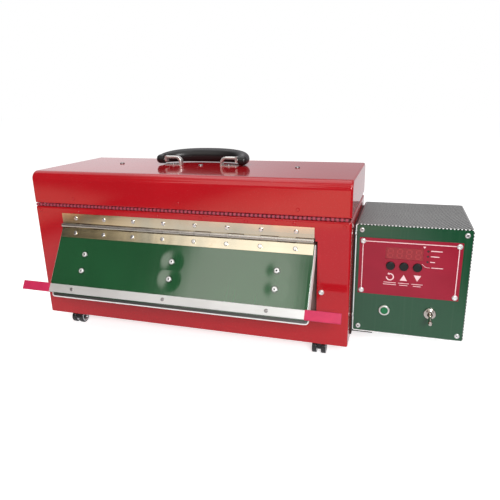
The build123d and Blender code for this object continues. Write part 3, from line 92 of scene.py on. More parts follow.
class KilnSizes(bpy.types.PropertyGroup):
    def length(label, text, value):
        return bpy.props.FloatProperty(name=label, description=text, default=value, min=0.0001,
                                       subtype="DISTANCE", unit="LENGTH", precision=5)

    hole_pitch: length("Hole pitch", "Staggered holes of the cover, centre to centre", 0.00476)
    hole: length("Hole", "Diameter of the cover's holes", 0.0031)
    cover_sheet: length("Cover sheet", "Thickness of the cover", 0.0012)
    cover_bend: length("Cover bend", "Outer radius of the cover's bends", 0.003)
    wire: length("Element wire", "Diameter of the resistance wire", 0.0011)
    turn: length("Element turn", "Step from one turn of the coil to the next", 0.0022)
    line: length("Printed line", "Width of the line round the overlay", 0.0011)
    figure: length("Figure height", "Height of the display's figures", 0.0125)


class KilnStage(bpy.types.PropertyGroup):
    lens: bpy.props.FloatProperty(name="Lens", description="Focal length on a 36 mm sensor", default=34.36,
                                  min=10, subtype="DISTANCE_CAMERA")
    yaw: bpy.props.FloatProperty(name="Yaw", description="Camera turned to the left", subtype="ANGLE",
                                 default=math.radians(16.594))
    pitch: bpy.props.FloatProperty(name="Pitch", description="Camera looking down", subtype="ANGLE",
                                   default=math.radians(16.563))
    roll: bpy.props.FloatProperty(name="Roll", description="Camera tilted about its view", subtype="ANGLE",
                                  default=math.radians(-0.979))
    eye: bpy.props.FloatVectorProperty(name="Camera place", description="Where the camera stands", size=3,
                                       subtype="TRANSLATION", default=(0.23435, -0.69821, 0.37008))
    room: bpy.props.FloatProperty(name="Room light", description="Level of the soft light all round",
                                  default=0.42, min=0)
    key: bpy.props.FloatProperty(name="Key lamp", description="Soft lamp at the front right", default=44.0,
                                 min=0, subtype="POWER")
    top: bpy.props.FloatProperty(name="Top lamp", description="Soft lamp overhead", default=12.0, min=0,
                                 subtype="POWER")


# ---------------------------------------------------------------- shader maths
def feed(tree, socket, value):
    """Links a value to a socket, or sets the socket to a plain one."""
    if isinstance(value, Value):
        tree.links.new(value.socket, socket)
    else:
        socket.default_value = value


class Value:
    """A node's output, so that sums on it are written as sums."""

    def __init__(self, tree, socket):
        self.tree = tree
        self.socket = socket

    def reckon(self, operation, *terms):
        node = self.tree.nodes.new("ShaderNodeMath")
        node.operation = operation
        for socket, term in zip(node.inputs, terms):
            feed(self.tree, socket, term)
        return Value(self.tree, node.outputs[0])

    def __add__(self, other):
        return self.reckon("ADD", self, other)

    __radd__ = __add__

    def __mul__(self, other):
        return self.reckon("MULTIPLY", self, other)

    def __sub__(self, other):
        return self.reckon("SUBTRACT", self, other)

    def __rsub__(self, other):
        return self.reckon("SUBTRACT", other, self)

    def __truediv__(self, other):
        return self.reckon("DIVIDE", self, other)

    def __pow__(self, other):
        return self.reckon("POWER", self, other)

    def size(self):
        """The value without its sign."""
        return self.reckon("ABSOLUTE", self)

    def part(self):
        """The value's fraction, past the whole number under it."""
        return self.reckon("FRACT", self)

    def least(self, other):
        return self.reckon("MINIMUM", self, other)

    def most(self, other):
        return self.reckon("MAXIMUM", self, other)

    def ramp(self, low, high):
        """0 below low, 1 above high, eased between them; low may be the larger."""
        node = self.tree.nodes.new("ShaderNodeMapRange")
        node.interpolation_type = "SMOOTHSTEP"
        flip = low > high
        self.tree.links.new(self.socket, node.inputs["Value"])
        node.inputs["From Min"].default_value = min(low, high)
        node.inputs["From Max"].default_value = max(low, high)
        node.inputs["To Min"].default_value = 1.0 if flip else 0.0
        node.inputs["To Max"].default_value = 0.0 if flip else 1.0
        return Value(self.tree, node.outputs[0])


class Finish:
    """The nodes of one material."""

    def __init__(self, name, world=None):
        if world is None:
            self.material = bpy.data.materials.new(name)
            self.material.use_nodes = True
            self.tree = self.material.node_tree
        else:
            world.use_nodes = True
            self.tree = world.node_tree
        self.tree.nodes.clear()
        self.spots = {}

    def node(self, kind, inputs=None, out=0, **settings):
        """An output of a new node, its settings set first, then its sockets' values or links."""
        node = self.tree.nodes.new(kind)
        for key, value in settings.items():
            setattr(node, key, value)
        for key, value in (inputs or {}).items():
            feed(self.tree, node.inputs[key], value)
        return Value(self.tree, node.outputs[out])

    def place(self, stretch=(1, 1, 1), start=(0, 0, 0)):
        """Object coordinates, stretched and moved."""
        if "place" not in self.spots:
            self.spots["place"] = self.node("ShaderNodeTexCoord", out="Object")
        if stretch == (1, 1, 1) and start == (0, 0, 0):
            return self.spots["place"]
        return self.node("ShaderNodeMapping", {"Vector": self.spots["place"], "Location": start,
                                               "Scale": stretch})

    def axis(self, name):
        """One coordinate of the object, in metres."""
        if name not in self.spots:
            self.spots[name] = self.node("ShaderNodeSeparateXYZ", {"Vector": self.place()}, out=name)
        return self.spots[name]

    def on_door(self):
        """Distance from the door's middle, from its pin along it, and in from the pin, in metres."""
        y, z = self.axis("Y") - DOOR_PIN.y, self.axis("Z") - DOOR_PIN.z
        cos, sin = math.cos(DOOR_AJAR), math.sin(DOOR_AJAR)
        return self.axis("X") - DOOR_MID, y * -sin + z * -cos, y * cos + z * -sin

    def from_door_screws(self):
        """Distance from the nearest of the door's screws, along the door."""
        across, down, _ = self.on_door()
        nearest = None
        for x, s in DOOR_SCREWS:
            run, fall = across - x, down - s
            gap = (run * run + fall * fall) ** 0.5
            nearest = gap if nearest is None else nearest.least(gap)
        return nearest

    def noise(self, scale, detail=2.0, rough=0.5, stretch=(1, 1, 1), start=(0, 0, 0)):
        return self.node("ShaderNodeTexNoise", {"Vector": self.place(stretch, start), "Scale": scale,
                                                "Detail": detail, "Roughness": rough})

    def cells(self, scale):
        """Distance from the nearest of many scattered points."""
        return self.node("ShaderNodeTexVoronoi", {"Vector": self.place(), "Scale": scale}, out="Distance")

    def ray(self, kind):
        """1 for the rays of that kind, 0 for the others."""
        return self.node("ShaderNodeLightPath", out=f"Is {kind} Ray")

    def glow(self, kind, colour, strength=1.0):
        return self.node(kind, {"Color": colour, "Strength": strength})

    def choose(self, factor, a, b):
        """Shader a where the factor is 0, b where it is 1."""
        return self.node("ShaderNodeMixShader", {0: factor, 1: a, 2: b})

    def mix(self, factor, a, b):
        """Two colours mixed by a factor."""
        node = self.tree.nodes.new("ShaderNodeMix")
        node.data_type = "RGBA"
        for key, value in ((0, factor), (6, a), (7, b)):
            plain_colour = key and not isinstance(value, Value)
            feed(self.tree, node.inputs[key], (*value, 1.0) if plain_colour else value)
        return Value(self.tree, node.outputs[2])

    def bump(self, height, distance, strength=1.0, under=None):
        inputs = {"Height": height, "Distance": distance, "Strength": strength}
        if under is not None:
            inputs["Normal"] = under
        return self.node("ShaderNodeBump", inputs)

    def shade(self, colour, roughness, normal=None, **constants):
        """The surface shader, linked to the material's output."""
        inputs = {"Base Color": colour, "Roughness": roughness}
        if normal is not None:
            inputs["Normal"] = normal
        for key, value in constants.items():
            inputs[key.replace("_", " ").title().replace("Ior", "IOR")] = value
        self.finish(self.node("ShaderNodeBsdfPrincipled", inputs))
        return self.material

    def finish(self, shader, kind="ShaderNodeOutputMaterial"):
        out = self.tree.nodes.new(kind)
        self.tree.links.new(shader.socket, out.inputs["Surface"])


# ---------------------------------------------------------------- finishes
WIPED = (0.12, 0.2, 0.13)  # green paint where a cloth left its streaks


def darker(colour, share):
    return tuple(c * share for c in colour)


def enamel(name, colour, extra=None):
    """Baked gloss enamel with a faint orange peel and a little dust; where asked, painted shade in a band
    behind the door hinge, or shaded softer over the bend along the lid's front."""
    f = Finish(name)
    cloud = f.noise(7.0, 3.0)
    peel = f.noise(260.0, 2.0)
    swell = f.noise(26.0, 1.0)
    dust = f.noise(900.0, 1.0).ramp(0.66, 0.74)
    tone = f.mix(cloud.ramp(0.3, 0.75), darker(colour, 0.94), darker(colour, 1.05))
    tone = f.mix(dust * 0.10, tone, (0.55, 0.42, 0.40))
    if extra == "hinge strip":
        across, height = (f.axis("X") - DOOR_MID).size(), f.axis("Z") - DOOR_PIN.z
        hinge_shade_band = across.ramp(0.206, 0.2045) * height.ramp(-0.0085, -0.0065) * height.ramp(0.0050, 0.0036)
        front = f.axis("Y").ramp(CORNER.y + 0.003, CORNER.y + 0.002)
        # painted shade: a near-black band on the body behind the door hinge
        tone = f.mix(hinge_shade_band * front * 0.94, tone, (0.02, 0.012, 0.01))
    normal = f.bump(peel * 0.25 + swell, 0.00011, 0.5)
    if extra == "soft bend":
        bend_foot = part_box("lid_shell")[1].z - 0.0115
        rise = (f.axis("Z") - bend_foot).most(0.0)
        front = f.axis("Y").ramp(CORNER.y + 0.002, CORNER.y + 0.001)
        normal = f.bump(rise * rise * front * -16.0, 1.0, 1.0, normal)
    return f.shade(tone, 0.055 + cloud * 0.05 + dust * 0.12, normal, ior=1.5)


def panel_green(name, colour):
    """Deep green paint with upright streaks from wiping."""
    f = Finish(name)
    cloud = f.noise(9.0, 3.0)
    streak = f.noise(1.0, 3.0, 0.6, (150.0, 2.5, 2.5))
    peel = f.noise(300.0, 2.0)
    tone = f.mix(cloud.ramp(0.3, 0.7), darker(colour, 0.72), darker(colour, 0.86))
    bluer = (0.004, 0.068, 0.030)
    tone = f.mix(0.5, tone, bluer)
    tone = f.mix(streak.ramp(0.5, 0.8) * 0.08, tone, WIPED)
    normal = f.bump(peel * 0.3 + streak * 0.9, 0.00008, 0.5)
    return f.shade(tone, 0.14 + streak * 0.12, normal, ior=1.65)


def seam_paint(name, colour):
    """The red paint of the lid hinge, worn dull, with a painted highlight along its barrel and painted shade
    in the gaps between its knuckles.
    """
    f = Finish(name)
    y, z = f.axis("Y") - LID_PIN.y, f.axis("Z") - LID_PIN.z
    barrel = ((y * y + z * z) ** 0.5).ramp(0.0026, 0.0021)
    step = ((f.axis("X") - LID_PIN.x) / LID_KNUCKLE).part()
    gap = (step - 0.5).size().ramp(0.20, 0.36)
    worn = f.noise(90.0, 3.0)
    barrel_highlight, shadow = (0.40, 0.060, 0.10), (0.085, 0.002, 0.006)
    tone = f.mix(worn.ramp(0.3, 0.7), darker(colour, 0.55), darker(colour, 0.9))
    # painted highlight: the barrel is painted a pale mauve
    tone = f.mix(barrel * 0.8, tone, barrel_highlight)
    tone = f.mix(gap * 0.88, tone, shadow)
    return f.shade(tone, 0.24 + worn * 0.1 + gap * 0.4, f.bump(worn, 0.00003, 0.5), ior=1.5)


def door_green(name, colour):
    """Gloss green of the bead door, dimpled at its screws with painted shade round each, with painted
    highlights on its sides and on the rim at its back edge, over a lip in painted shade."""
    f = Finish(name)
    across, down, depth = f.on_door()
    cloud = f.noise(9.0, 3.0)
    streak = f.noise(1.0, 3.0, 0.6, (170.0, 2.5, 2.5))
    gap = f.from_door_screws()
    wave = f.noise(11.0, 1.0)
    height = wave * 0.5 + streak * 0.03 + f.noise(300.0, 2.0) * 0.012 - gap.ramp(0.021, 0.0)
    beyond = (across.size() - (DOOR_HALF - RIM_CORNER)).most(0.0)
    below = (down - (DOOR_EDGE - RIM_CORNER)).most(0.0)
    edge = (beyond * beyond + below * below) ** 0.5
    back = depth.ramp(0.0125, 0.0131)
    rim = edge.ramp(RIM_CORNER - 0.0018, RIM_CORNER - 0.0012) * back
    lip = down.ramp(0.1076, 0.1083) * back
    side = across.size().ramp(DOOR_HALF - 0.0012, DOOR_HALF - 0.0006)
    tone = f.mix(cloud.ramp(0.3, 0.7), darker(colour, 0.9), darker(colour, 1.08))
    screw_shade, lip_shade, painted_edge_highlight = (0.008, 0.02, 0.012), (0.012, 0.010, 0.010), (0.84, 0.81, 0.80)
    tone = f.mix(streak.ramp(0.5, 0.8) * 0.05, tone, WIPED)
    # painted shade: the paint is darker in the dimple round each screw
    tone = f.mix(gap.ramp(0.0068, 0.0040) * 0.7, tone, screw_shade)
    # painted shade: the lip under the bar is painted near-black
    tone = f.mix(lip, tone, lip_shade)
    # painted highlight: the door's sides and the rim at its back edge are painted near-white
    tone = f.mix(rim.most(side), tone, painted_edge_highlight)
    normal = f.bump(height * across.size().ramp(DOOR_HALF - 0.002, DOOR_HALF - 0.006), 0.0006, 1.0)
    return f.shade(tone, 0.08 + streak * 0.05 + rim.most(side) * 0.4 + lip * 0.4, normal, ior=2.0)


def ringed_screw(name, colour, distance, shade_dot_radius=0.0013):
    """Bright screw heads with painted shade in their recess, from a function that gives the distance from
    their middles.
    """
    f = Finish(name)
    cloud = f.noise(160.0, 3.0)
    gap = distance(f)
    # painted shade: the middle of each head is painted near-black
    tone = f.mix(gap.ramp(shade_dot_radius * 1.25, shade_dot_radius * 0.8), darker(colour, 0.9), (0.02, 0.02, 0.02))
    return f.shade(tone, 0.3 + cloud * 0.1, f.bump(cloud, 0.00003, 0.4), metallic=0.75)


def from_corners(low, high, inset):
    """Distance from the nearest of four points set in from the corners of a box's front."""
    middle, half = (low + high) / 2, (high - low) / 2
    def distance(f):
        run = (f.axis("X") - middle.x).size() - (half.x - inset)
        rise = (f.axis("Z") - middle.z).size() - (half.z - inset)
        return (run * run + rise * rise) ** 0.5
    return distance


def wheel(name, colour):
    """Black wheels with a bright ring round each hub."""
    f = Finish(name)
    near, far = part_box("wheels_front_left"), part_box("wheels_rear_left")
    y_near, y_far = (near[0].y + near[1].y) / 2, (far[0].y + far[1].y) / 2
    y = (f.axis("Y") - (y_near + y_far) / 2).size() - (y_far - y_near) / 2
    z = f.axis("Z") - (near[0].z + near[1].z) / 2
    reach = (y * y + z * z) ** 0.5
    radius = (near[1].z - near[0].z) / 2
    ring = reach.ramp(radius * 0.42, radius * 0.50) * reach.ramp(radius * 0.78, radius * 0.70)
    skin = f.noise(500.0, 2.0)
    bright = (0.66, 0.66, 0.68)
    tone = f.mix(ring, f.mix(skin, darker(colour, 0.8), colour), bright)
    return f.shade(tone, 0.14 + skin * 0.08 + ring * 0.1, f.bump(skin, 0.00003, 0.6), metallic=ring)


def hinge_leaf(name, colour):
    """Rolled pale brass leaf with a painted reflection that turns it deeper gold to the left, its barrel
    greyer, with grey and brown stains.
    """
    f = Finish(name)
    y, z = f.axis("Y") - DOOR_PIN.y, f.axis("Z") - DOOR_PIN.z
    barrel = ((y * y + z * z) ** 0.5).ramp(0.0036, 0.0032)
    lower = z.ramp(-0.0036, -0.0040)
    lines = f.noise(1.0, 4.0, 0.65, (1.5, 260.0, 260.0))
    cloud = f.noise(14.0, 3.0)
    waves = f.noise(1.0, 2.0, 0.5, (26.0, 8.0, 8.0))
    # painted reflection: the leaf is painted a deeper gold toward the left
    gold_reflection_left = f.axis("X").ramp(DOOR_MID + 0.06, DOOR_MID - 0.18)
    patches = f.noise(1.0, 2.0, 0.5, (16.0, 5.0, 5.0), start=(3.0, 0, 0)).ramp(0.45, 0.62)
    stains = f.noise(38.0, 4.0, 0.6).ramp(0.55, 0.8)
    tone = f.mix(cloud.ramp(0.25, 0.8), darker(colour, 0.88), colour)
    for share, other in ((gold_reflection_left * 0.7, (0.80, 0.64, 0.33)), (patches * 0.45, (0.56, 0.57, 0.47)),
                         (stains * 0.3, (0.55, 0.42, 0.22)), (barrel, (0.56, 0.54, 0.50))):
        tone = f.mix(share, tone, other)
    normal = f.bump(waves * 6.0 + lines * 0.2, 0.0001, 0.8)
    normal = f.bump(z * lower * -0.09, 1.0, 1.0, normal)
    return f.shade(tone, 0.12 + (lines - 0.5) * 0.10 + barrel * 0.15 + lower * 0.08, normal, metallic=1.0)


def brushed(name, colour, rough, stretch=(1.5, 260.0, 260.0)):
    """Rolled or brushed metal, its lines along the axis of least stretch."""
    f = Finish(name)
    lines = f.noise(1.0, 4.0, 0.65, stretch)
    cloud = f.noise(14.0, 3.0)
    tone = f.mix(cloud.ramp(0.25, 0.8), darker(colour, 0.88), colour)
    rough = rough + (lines - 0.5) * 0.10 + cloud * 0.06
    return f.shade(tone, rough, f.bump(lines, 0.00002, 0.6), metallic=1.0)


def plated(name, colour, rough, metal=1.0):
    """Bright plated fasteners, slightly mottled."""
    f = Finish(name)
    cloud = f.noise(160.0, 3.0)
    tone = f.mix(cloud.ramp(0.3, 0.8), darker(colour, 0.82), colour)
    return f.shade(tone, rough + cloud * 0.1, f.bump(cloud, 0.00003, 0.4), metallic=metal)


def moulded(name, colour, rough, grain=700.0, depth=0.00003):
    """Moulded plastic or rubber with a fine spark-eroded grain."""
    f = Finish(name)
    skin = f.noise(grain, 2.0)
    cloud = f.noise(30.0, 2.0)
    tone = f.mix(cloud.ramp(0.3, 0.8), darker(colour, 0.88), darker(colour, 1.1))
    return f.shade(tone, rough + cloud * 0.08, f.bump(skin, depth, 0.6), ior=1.48)


def insulation(name, colour, pores, depth, shaded_face=None):
    """Insulating firebrick: chalky, full of small pores, with a little scorching, and painted shade on the
    face named.
    """
    f = Finish(name)
    pits = f.cells(pores)
    fine = f.noise(pores * 2.2, 4.0, 0.7)
    cloud = f.noise(16.0, 4.0, 0.6)
    holes = pits.ramp(0.26, 0.12)
    tone = f.mix(cloud.ramp(0.3, 0.75), darker(colour, 0.86), colour)
    tone = f.mix(holes * 0.55, tone, darker(colour, 0.45))
    scorched = (0.72, 0.55, 0.38)
    tone = f.mix(fine.ramp(0.6, 0.8) * 0.3, tone, scorched)
    if shaded_face == "front":
        # painted shade: the front wall's front face is painted dark
        tone = f.mix(f.axis("Y").ramp(at(0, 30, 0).y, at(0, 20, 0).y) * 0.94, tone, (0.20, 0.105, 0.105))
    if shaded_face == "plug":
        inward = f.on_door()[2]
        # painted shade: the plug's face toward the door is painted dark
        tone = f.mix(inward.ramp(0.0435, 0.0400) * 0.96, tone, (0.10, 0.050, 0.050))
    return f.shade(tone, 0.92, f.bump(fine * 0.5 - holes, depth, 0.8), specular_ior_level=0.2)


def glazed(name, colour):
    f = Finish(name)
    cloud = f.noise(120.0, 2.0)
    tone = f.mix(cloud, darker(colour, 0.93), colour)
    return f.shade(tone, 0.12 + cloud * 0.08, f.bump(cloud, 0.00004, 0.4), ior=1.52)


def oxidised(name, colour):
    """Resistance wire after many firings."""
    f = Finish(name)
    cloud = f.noise(220.0, 4.0, 0.6)
    tone = f.mix(cloud.ramp(0.35, 0.7), colour, (0.30, 0.25, 0.21))
    return f.shade(tone, 0.55 + cloud * 0.2, f.bump(cloud, 0.00005, 0.7), metallic=0.7)


def knitted(name, colour):
    """Glass fibre sleeving, knitted over a soft core."""
    f = Finish(name)
    weft = f.noise(1.0, 1.0, 0.5, (900.0, 900.0, 900.0))
    loops = f.cells(1100.0)
    tone = f.mix(loops.ramp(0.0, 0.5), darker(colour, 0.7), colour)
    return f.shade(tone, 0.85, f.bump(loops * -1.0 + weft * 0.4, 0.0002, 0.8), specular_ior_level=0.3)


def vinyl(name, colour):
    f = Finish(name)
    cloud = f.noise(60.0, 2.0)
    crease = f.noise(1.0, 3.0, 0.6, (240.0, 60.0, 60.0))
    tone = f.mix(cloud.ramp(0.3, 0.75), darker(colour, 0.92), darker(colour, 1.06))
    return f.shade(tone, 0.34 + crease * 0.12, f.bump(crease, 0.00006, 0.5), ior=1.46)


def printed_sheet(name, colour):
    """Polycarbonate overlay, printed from behind, with a fine velvet face."""
    f = Finish(name)
    velvet = f.noise(1500.0, 1.0)
    cloud = f.noise(30.0, 2.0)
    tone = f.mix(cloud.ramp(0.3, 0.75), darker(colour, 0.95), darker(colour, 1.05))
    return f.shade(tone, 0.2 + cloud * 0.06, f.bump(velvet, 0.00001, 0.5), ior=1.4)


def lens(name, colour, rough):
    f = Finish(name)
    cloud = f.noise(200.0, 1.0)
    tone = f.mix(cloud, darker(colour, 0.85), colour)
    return f.shade(tone, rough + cloud * 0.03, ior=1.52, coat_weight=0.4)


def ink(name, colour):
    f = Finish(name)
    grain = f.noise(1800.0, 2.0)
    return f.shade(f.mix(grain.ramp(0.3, 0.7), darker(colour, 0.92), colour), 0.4 + grain * 0.1)


def cover_metal(name, colour):
    """Grey perforated sheet, with painted shade in the walls of its holes and a painted highlight along its
    cut front edge.
    """
    f = Finish(name)
    wall = f.node("ShaderNodeAttribute", out="Fac", attribute_name="hole_wall")
    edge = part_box("box_cover")[0].y
    front = f.axis("Y").ramp(edge + 0.0012, edge + 0.0006)
    cloud = f.noise(14.0, 3.0)
    lines = f.noise(400.0, 2.0)
    tone = f.mix(cloud.ramp(0.25, 0.8), darker(colour, 0.9), colour)
    shadow, painted_edge_highlight = (0.012, 0.014, 0.013), (0.93, 0.94, 0.93)
    tone = f.mix(wall * 0.92, tone, shadow)
    # painted highlight: the cover's cut front edge is painted near-white
    tone = f.mix(front, tone, painted_edge_highlight)
    return f.shade(tone, 0.42 + (lines - 0.5) * 0.06 + front * 0.2, f.bump(lines, 0.00001, 0.5),
                   metallic=0.85 - front * 0.85)


def finishes():
    """Each finish: how it is made, from what, and the CAD nodes that take it whatever the CAD calls theirs.
    Nodes not named here keep the finish that the CAD gives them."""
    c = bpy.context.scene.kiln_colours
    brick = ((0.80, 0.72, 0.58), 420.0, 0.0007)
    box_corners = from_corners(*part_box("box_cover"), 0.0086)
    return {
        "red_paint": (enamel, (c.enamel,), ("base_pan",)),
        "lid_paint": (enamel, (c.enamel, "soft bend"), ("lid_shell",)),
        "body_paint": (enamel, (c.enamel, "hinge strip"), ("body_shell",)),
        "hinge_paint": (seam_paint, (c.enamel,), ("lid_hinge_body_leaf", "lid_hinge_lid_leaf")),
        "green_paint": (panel_green, (c.green,), ("box_front_panel", "box_back_panel")),
        "door_paint": (door_green, (c.green,), ("door_pan",)),
        "grey_sheet": (cover_metal, (c.sheet,), ()),
        "hinge_brass": (hinge_leaf, (c.leaf,), ("door_hinge_upper_leaf", "door_hinge_lower_leaf")),
        "steel": (brushed, ((0.55, 0.55, 0.56), 0.3), ()),
        "zinc": (plated, ((0.86, 0.86, 0.85), 0.16), ()),
        "column_screw": (plated, ((0.98, 0.98, 0.98), 0.26, 0.6), ("column_screws", "overlay_screws")),
        "door_screw": (ringed_screw, ((0.95, 0.95, 0.95), Finish.from_door_screws), ("door_screws",)),
        "box_screw": (ringed_screw, ((0.90, 0.90, 0.90), box_corners, 0.0011), ("box_screws",)),
        "dull_screw": (plated, ((0.34, 0.33, 0.33), 0.3), ("bar_screws", "lid_screws")),
        "toggle_metal": (plated, ((0.70, 0.66, 0.60), 0.14), ("toggle_nut", "toggle_lever", "toggle_body")),
        "bright_chrome": (plated, ((0.97, 0.96, 0.92), 0.24, 0.85), ()),
        "bar_aluminium": (brushed, ((0.77, 0.78, 0.77), 0.6, (3.0, 300.0, 300.0)), ("door_bar",)),
        "black_plastic": (moulded, ((0.010, 0.010, 0.011), 0.3), ()),
        "wheel_plastic": (wheel, ((0.022, 0.022, 0.024),), ()),
        "firebrick": (insulation, brick, ()),
        "sooty_brick": (insulation, (*brick, "front"), ("front_wall_brick",)),
        "plug_board": (insulation, ((0.84, 0.82, 0.76), 900.0, 0.0003, "plug"), ("door_plug",)),
        "seal_cord": (knitted, ((0.80, 0.78, 0.72),), ()),
        "element_wire": (oxidised, ((0.075, 0.068, 0.062),), ()),
        "white_ceramic": (glazed, ((0.83, 0.81, 0.76),), ()),
        "sleeve_vinyl": (vinyl, (c.sleeve,), ("grip_sleeves",)),
        "overlay_plastic": (printed_sheet, (c.overlay,), ("control_overlay",)),
        "display_lens": (lens, ((0.30, 0.008, 0.016), 0.08), ()),
        "lamp_lens": (lens, ((0.05, 0.006, 0.010), 0.1), ()),
        "key_rubber": (moulded, ((0.004, 0.007, 0.007), 0.36, 900.0, 0.00002), ()),
        "button_green": (moulded, ((0.006, 0.15, 0.05), 0.2, 900.0, 0.00001), ()),
        "board_laminate": (moulded, ((0.02, 0.12, 0.05), 0.4, 300.0), ()),
        "relay_case": (lens, ((0.42, 0.44, 0.48), 0.12), ()),
        "shelf_steel": (brushed, ((0.055, 0.050, 0.045), 0.5), ("box_bracket",)),
        "transformer_steel": (brushed, ((0.12, 0.12, 0.125), 0.5, (400.0, 2.0, 2.0)), ()),
        "switch_plastic": (moulded, ((0.03, 0.03, 0.032), 0.4), ()),
        "print_ink": (ink, (c.print_ink,), ()),
        "figure_red": (lens, ((0.40, 0.02, 0.028), 0.15), ()),
    }


def finish_named(name):
    """The material of that name, made on first use."""
    label = "kiln_" + name
    make, values, _ = finishes()[name]
    return bpy.data.materials.get(label) or make(label, *values)


# ---------------------------------------------------------------- modelling helpers
def clear_selection():
    if bpy.context.object is not None and bpy.context.object.mode != "OBJECT":
        bpy.ops.object.mode_set(mode="OBJECT")
    bpy.ops.object.select_all(action="DESELECT")


def only(*obs):
    clear_selection()
    for ob in obs:
        ob.select_set(True)
    bpy.context.view_layer.objects.active = obs[-1]


def edit(ob):
    only(ob)
    bpy.ops.object.mode_set(mode="EDIT")
    bpy.ops.mesh.select_all(action="SELECT")


def done():
    bpy.ops.object.mode_set(mode="OBJECT")


def pick(ob, test, kind="verts"):
    """In edit mode, selects just the elements that pass the test: the place of a vertex, the middle and
    the direction of an edge, or the middle and the normal of a face."""
    bpy.ops.mesh.select_mode(type={"verts": "VERT", "edges": "EDGE", "faces": "FACE"}[kind])
    bpy.ops.mesh.select_all(action="DESELECT")
    mesh = bmesh.from_edit_mesh(ob.data)
    for e in getattr(mesh, kind):
        if kind == "verts":
            e.select_set(test(e.co))
        elif kind == "edges":
            a, b = (v.co for v in e.verts)
            e.select_set(test((a + b) / 2, (b - a).normalized()))
        else:
            e.select_set(test(e.calc_center_median(), e.normal))
    mesh.select_flush_mode()
    bmesh.update_edit_mesh(ob.data)


def apply(ob, kind, **settings):
    """Adds a modifier and applies it."""
    only(ob)
    modifier = ob.modifiers.new(kind.title(), kind)
    for key, value in settings.items():
        setattr(modifier, key, value)
    bpy.ops.object.modifier_apply(modifier=modifier.name)


def join(obs):
    only(*obs)
    bpy.ops.object.join()
    return bpy.context.object


def freeze(ob):
    """Puts an object's place, turn and scale into its mesh."""
    only(ob)
    bpy.ops.object.transform_apply(location=True, rotation=True, scale=True)


def flat_ring(vertices, radius, grow):
    """A flat ring about the origin, in edit mode with just its outer edge selected."""
    clear_selection()
    bpy.ops.mesh.primitive_circle_add(vertices=vertices, radius=radius, fill_type="NOTHING",
                                      location=(0, 0, 0))
    ob = bpy.context.object
    edit(ob)
    bpy.ops.mesh.extrude_edges_move()
    bpy.ops.transform.resize(value=(grow, grow, 1))
    return ob


def settle(ob, name, body, finish, replaces=(), smooth=None):
    """Puts a finished piece's place into its mesh, and gives it name, finish, body and slot."""
    freeze(ob)
    if smooth is not None:
        bpy.ops.object.shade_smooth_by_angle(angle=math.radians(smooth))
    ob.name = name
    ob.data.name = name
    ob.data.materials.clear()
    ob.data.materials.append(finish_named(finish))
    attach(ob, body)
    if replaces:
        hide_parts(*replaces)
    clear_selection()
    return ob


def outward(ob):
    edit(ob)
    bpy.ops.mesh.remove_doubles(threshold=0.000002)
    bpy.ops.mesh.normals_make_consistent(inside=False)
    done()


# ---------------------------------------------------------------- pieces
WELD = 0.00001  # points nearer than this become one, in metres
ALONG = 0.9  # share of a direction that counts as along an axis


def perforated_sheet(width, depth):
    """A flat sheet of staggered holes from the origin to (width, depth), cut through at its edges."""
    s = bpy.context.scene.kiln_sizes
    pitch, row = s.hole_pitch, s.hole_pitch * math.sqrt(3) / 2
    ob = flat_ring(vertices=12, radius=s.hole / 2, grow=pitch / s.hole)
    def corner(co):
        """Whether a point belongs at a corner of the hexagon round the hole."""
        turn = math.degrees(math.atan2(co.y, co.x)) % 60
        return co.length > pitch * 0.49 and abs(turn - 30) < 5
    pick(ob, corner)
    grow = 1 / math.cos(math.radians(30))
    bpy.ops.transform.resize(value=(grow, grow, 1))
    bpy.ops.mesh.select_all(action="SELECT")
    bpy.ops.mesh.duplicate_move(TRANSFORM_OT_translate={"value": (pitch / 2, row, 0)})
    done()
    across = math.ceil(width / pitch) + 2
    along = math.ceil(depth / (2 * row)) + 2
    for count, step in ((across, (pitch, 0, 0)), (along, (0, 2 * row, 0))):
        apply(ob, "ARRAY", count=count, use_relative_offset=False, use_constant_offset=True,
              constant_offset_displace=step, use_merge_vertices=True, merge_threshold=WELD)
    edit(ob)
    bpy.ops.transform.translate(value=((width - across * pitch) / 2, -row, 0))
    near, far = (0, 0, 0), (width, depth, 0)
    for place, facing in ((near, (-1, 0, 0)), (far, (1, 0, 0)), (near, (0, -1, 0)), (far, (0, 1, 0))):
        bpy.ops.mesh.select_all(action="SELECT")
        bpy.ops.mesh.bisect(plane_co=place, plane_no=facing, use_fill=False, clear_outer=True, threshold=1e-7)
    done()
    outward_up(ob)
    apply(ob, "SOLIDIFY", thickness=s.cover_sheet, offset=-1.0)
    walls = [abs(face.normal.z) < 0.5 for face in ob.data.polygons]
    ob.data.attributes.new("hole_wall", "FLOAT", "FACE").data.foreach_set("value", walls)
    return ob


def outward_up(ob):
    """Turns a flat sheet's faces to +Z."""
    edit(ob)
    bpy.ops.mesh.remove_doubles(threshold=WELD)
    if any(face.normal.z < 0 for face in bmesh.from_edit_mesh(ob.data).faces):
        pick(ob, lambda _, normal: normal.z < 0, "faces")
        bpy.ops.mesh.flip_normals()
    done()


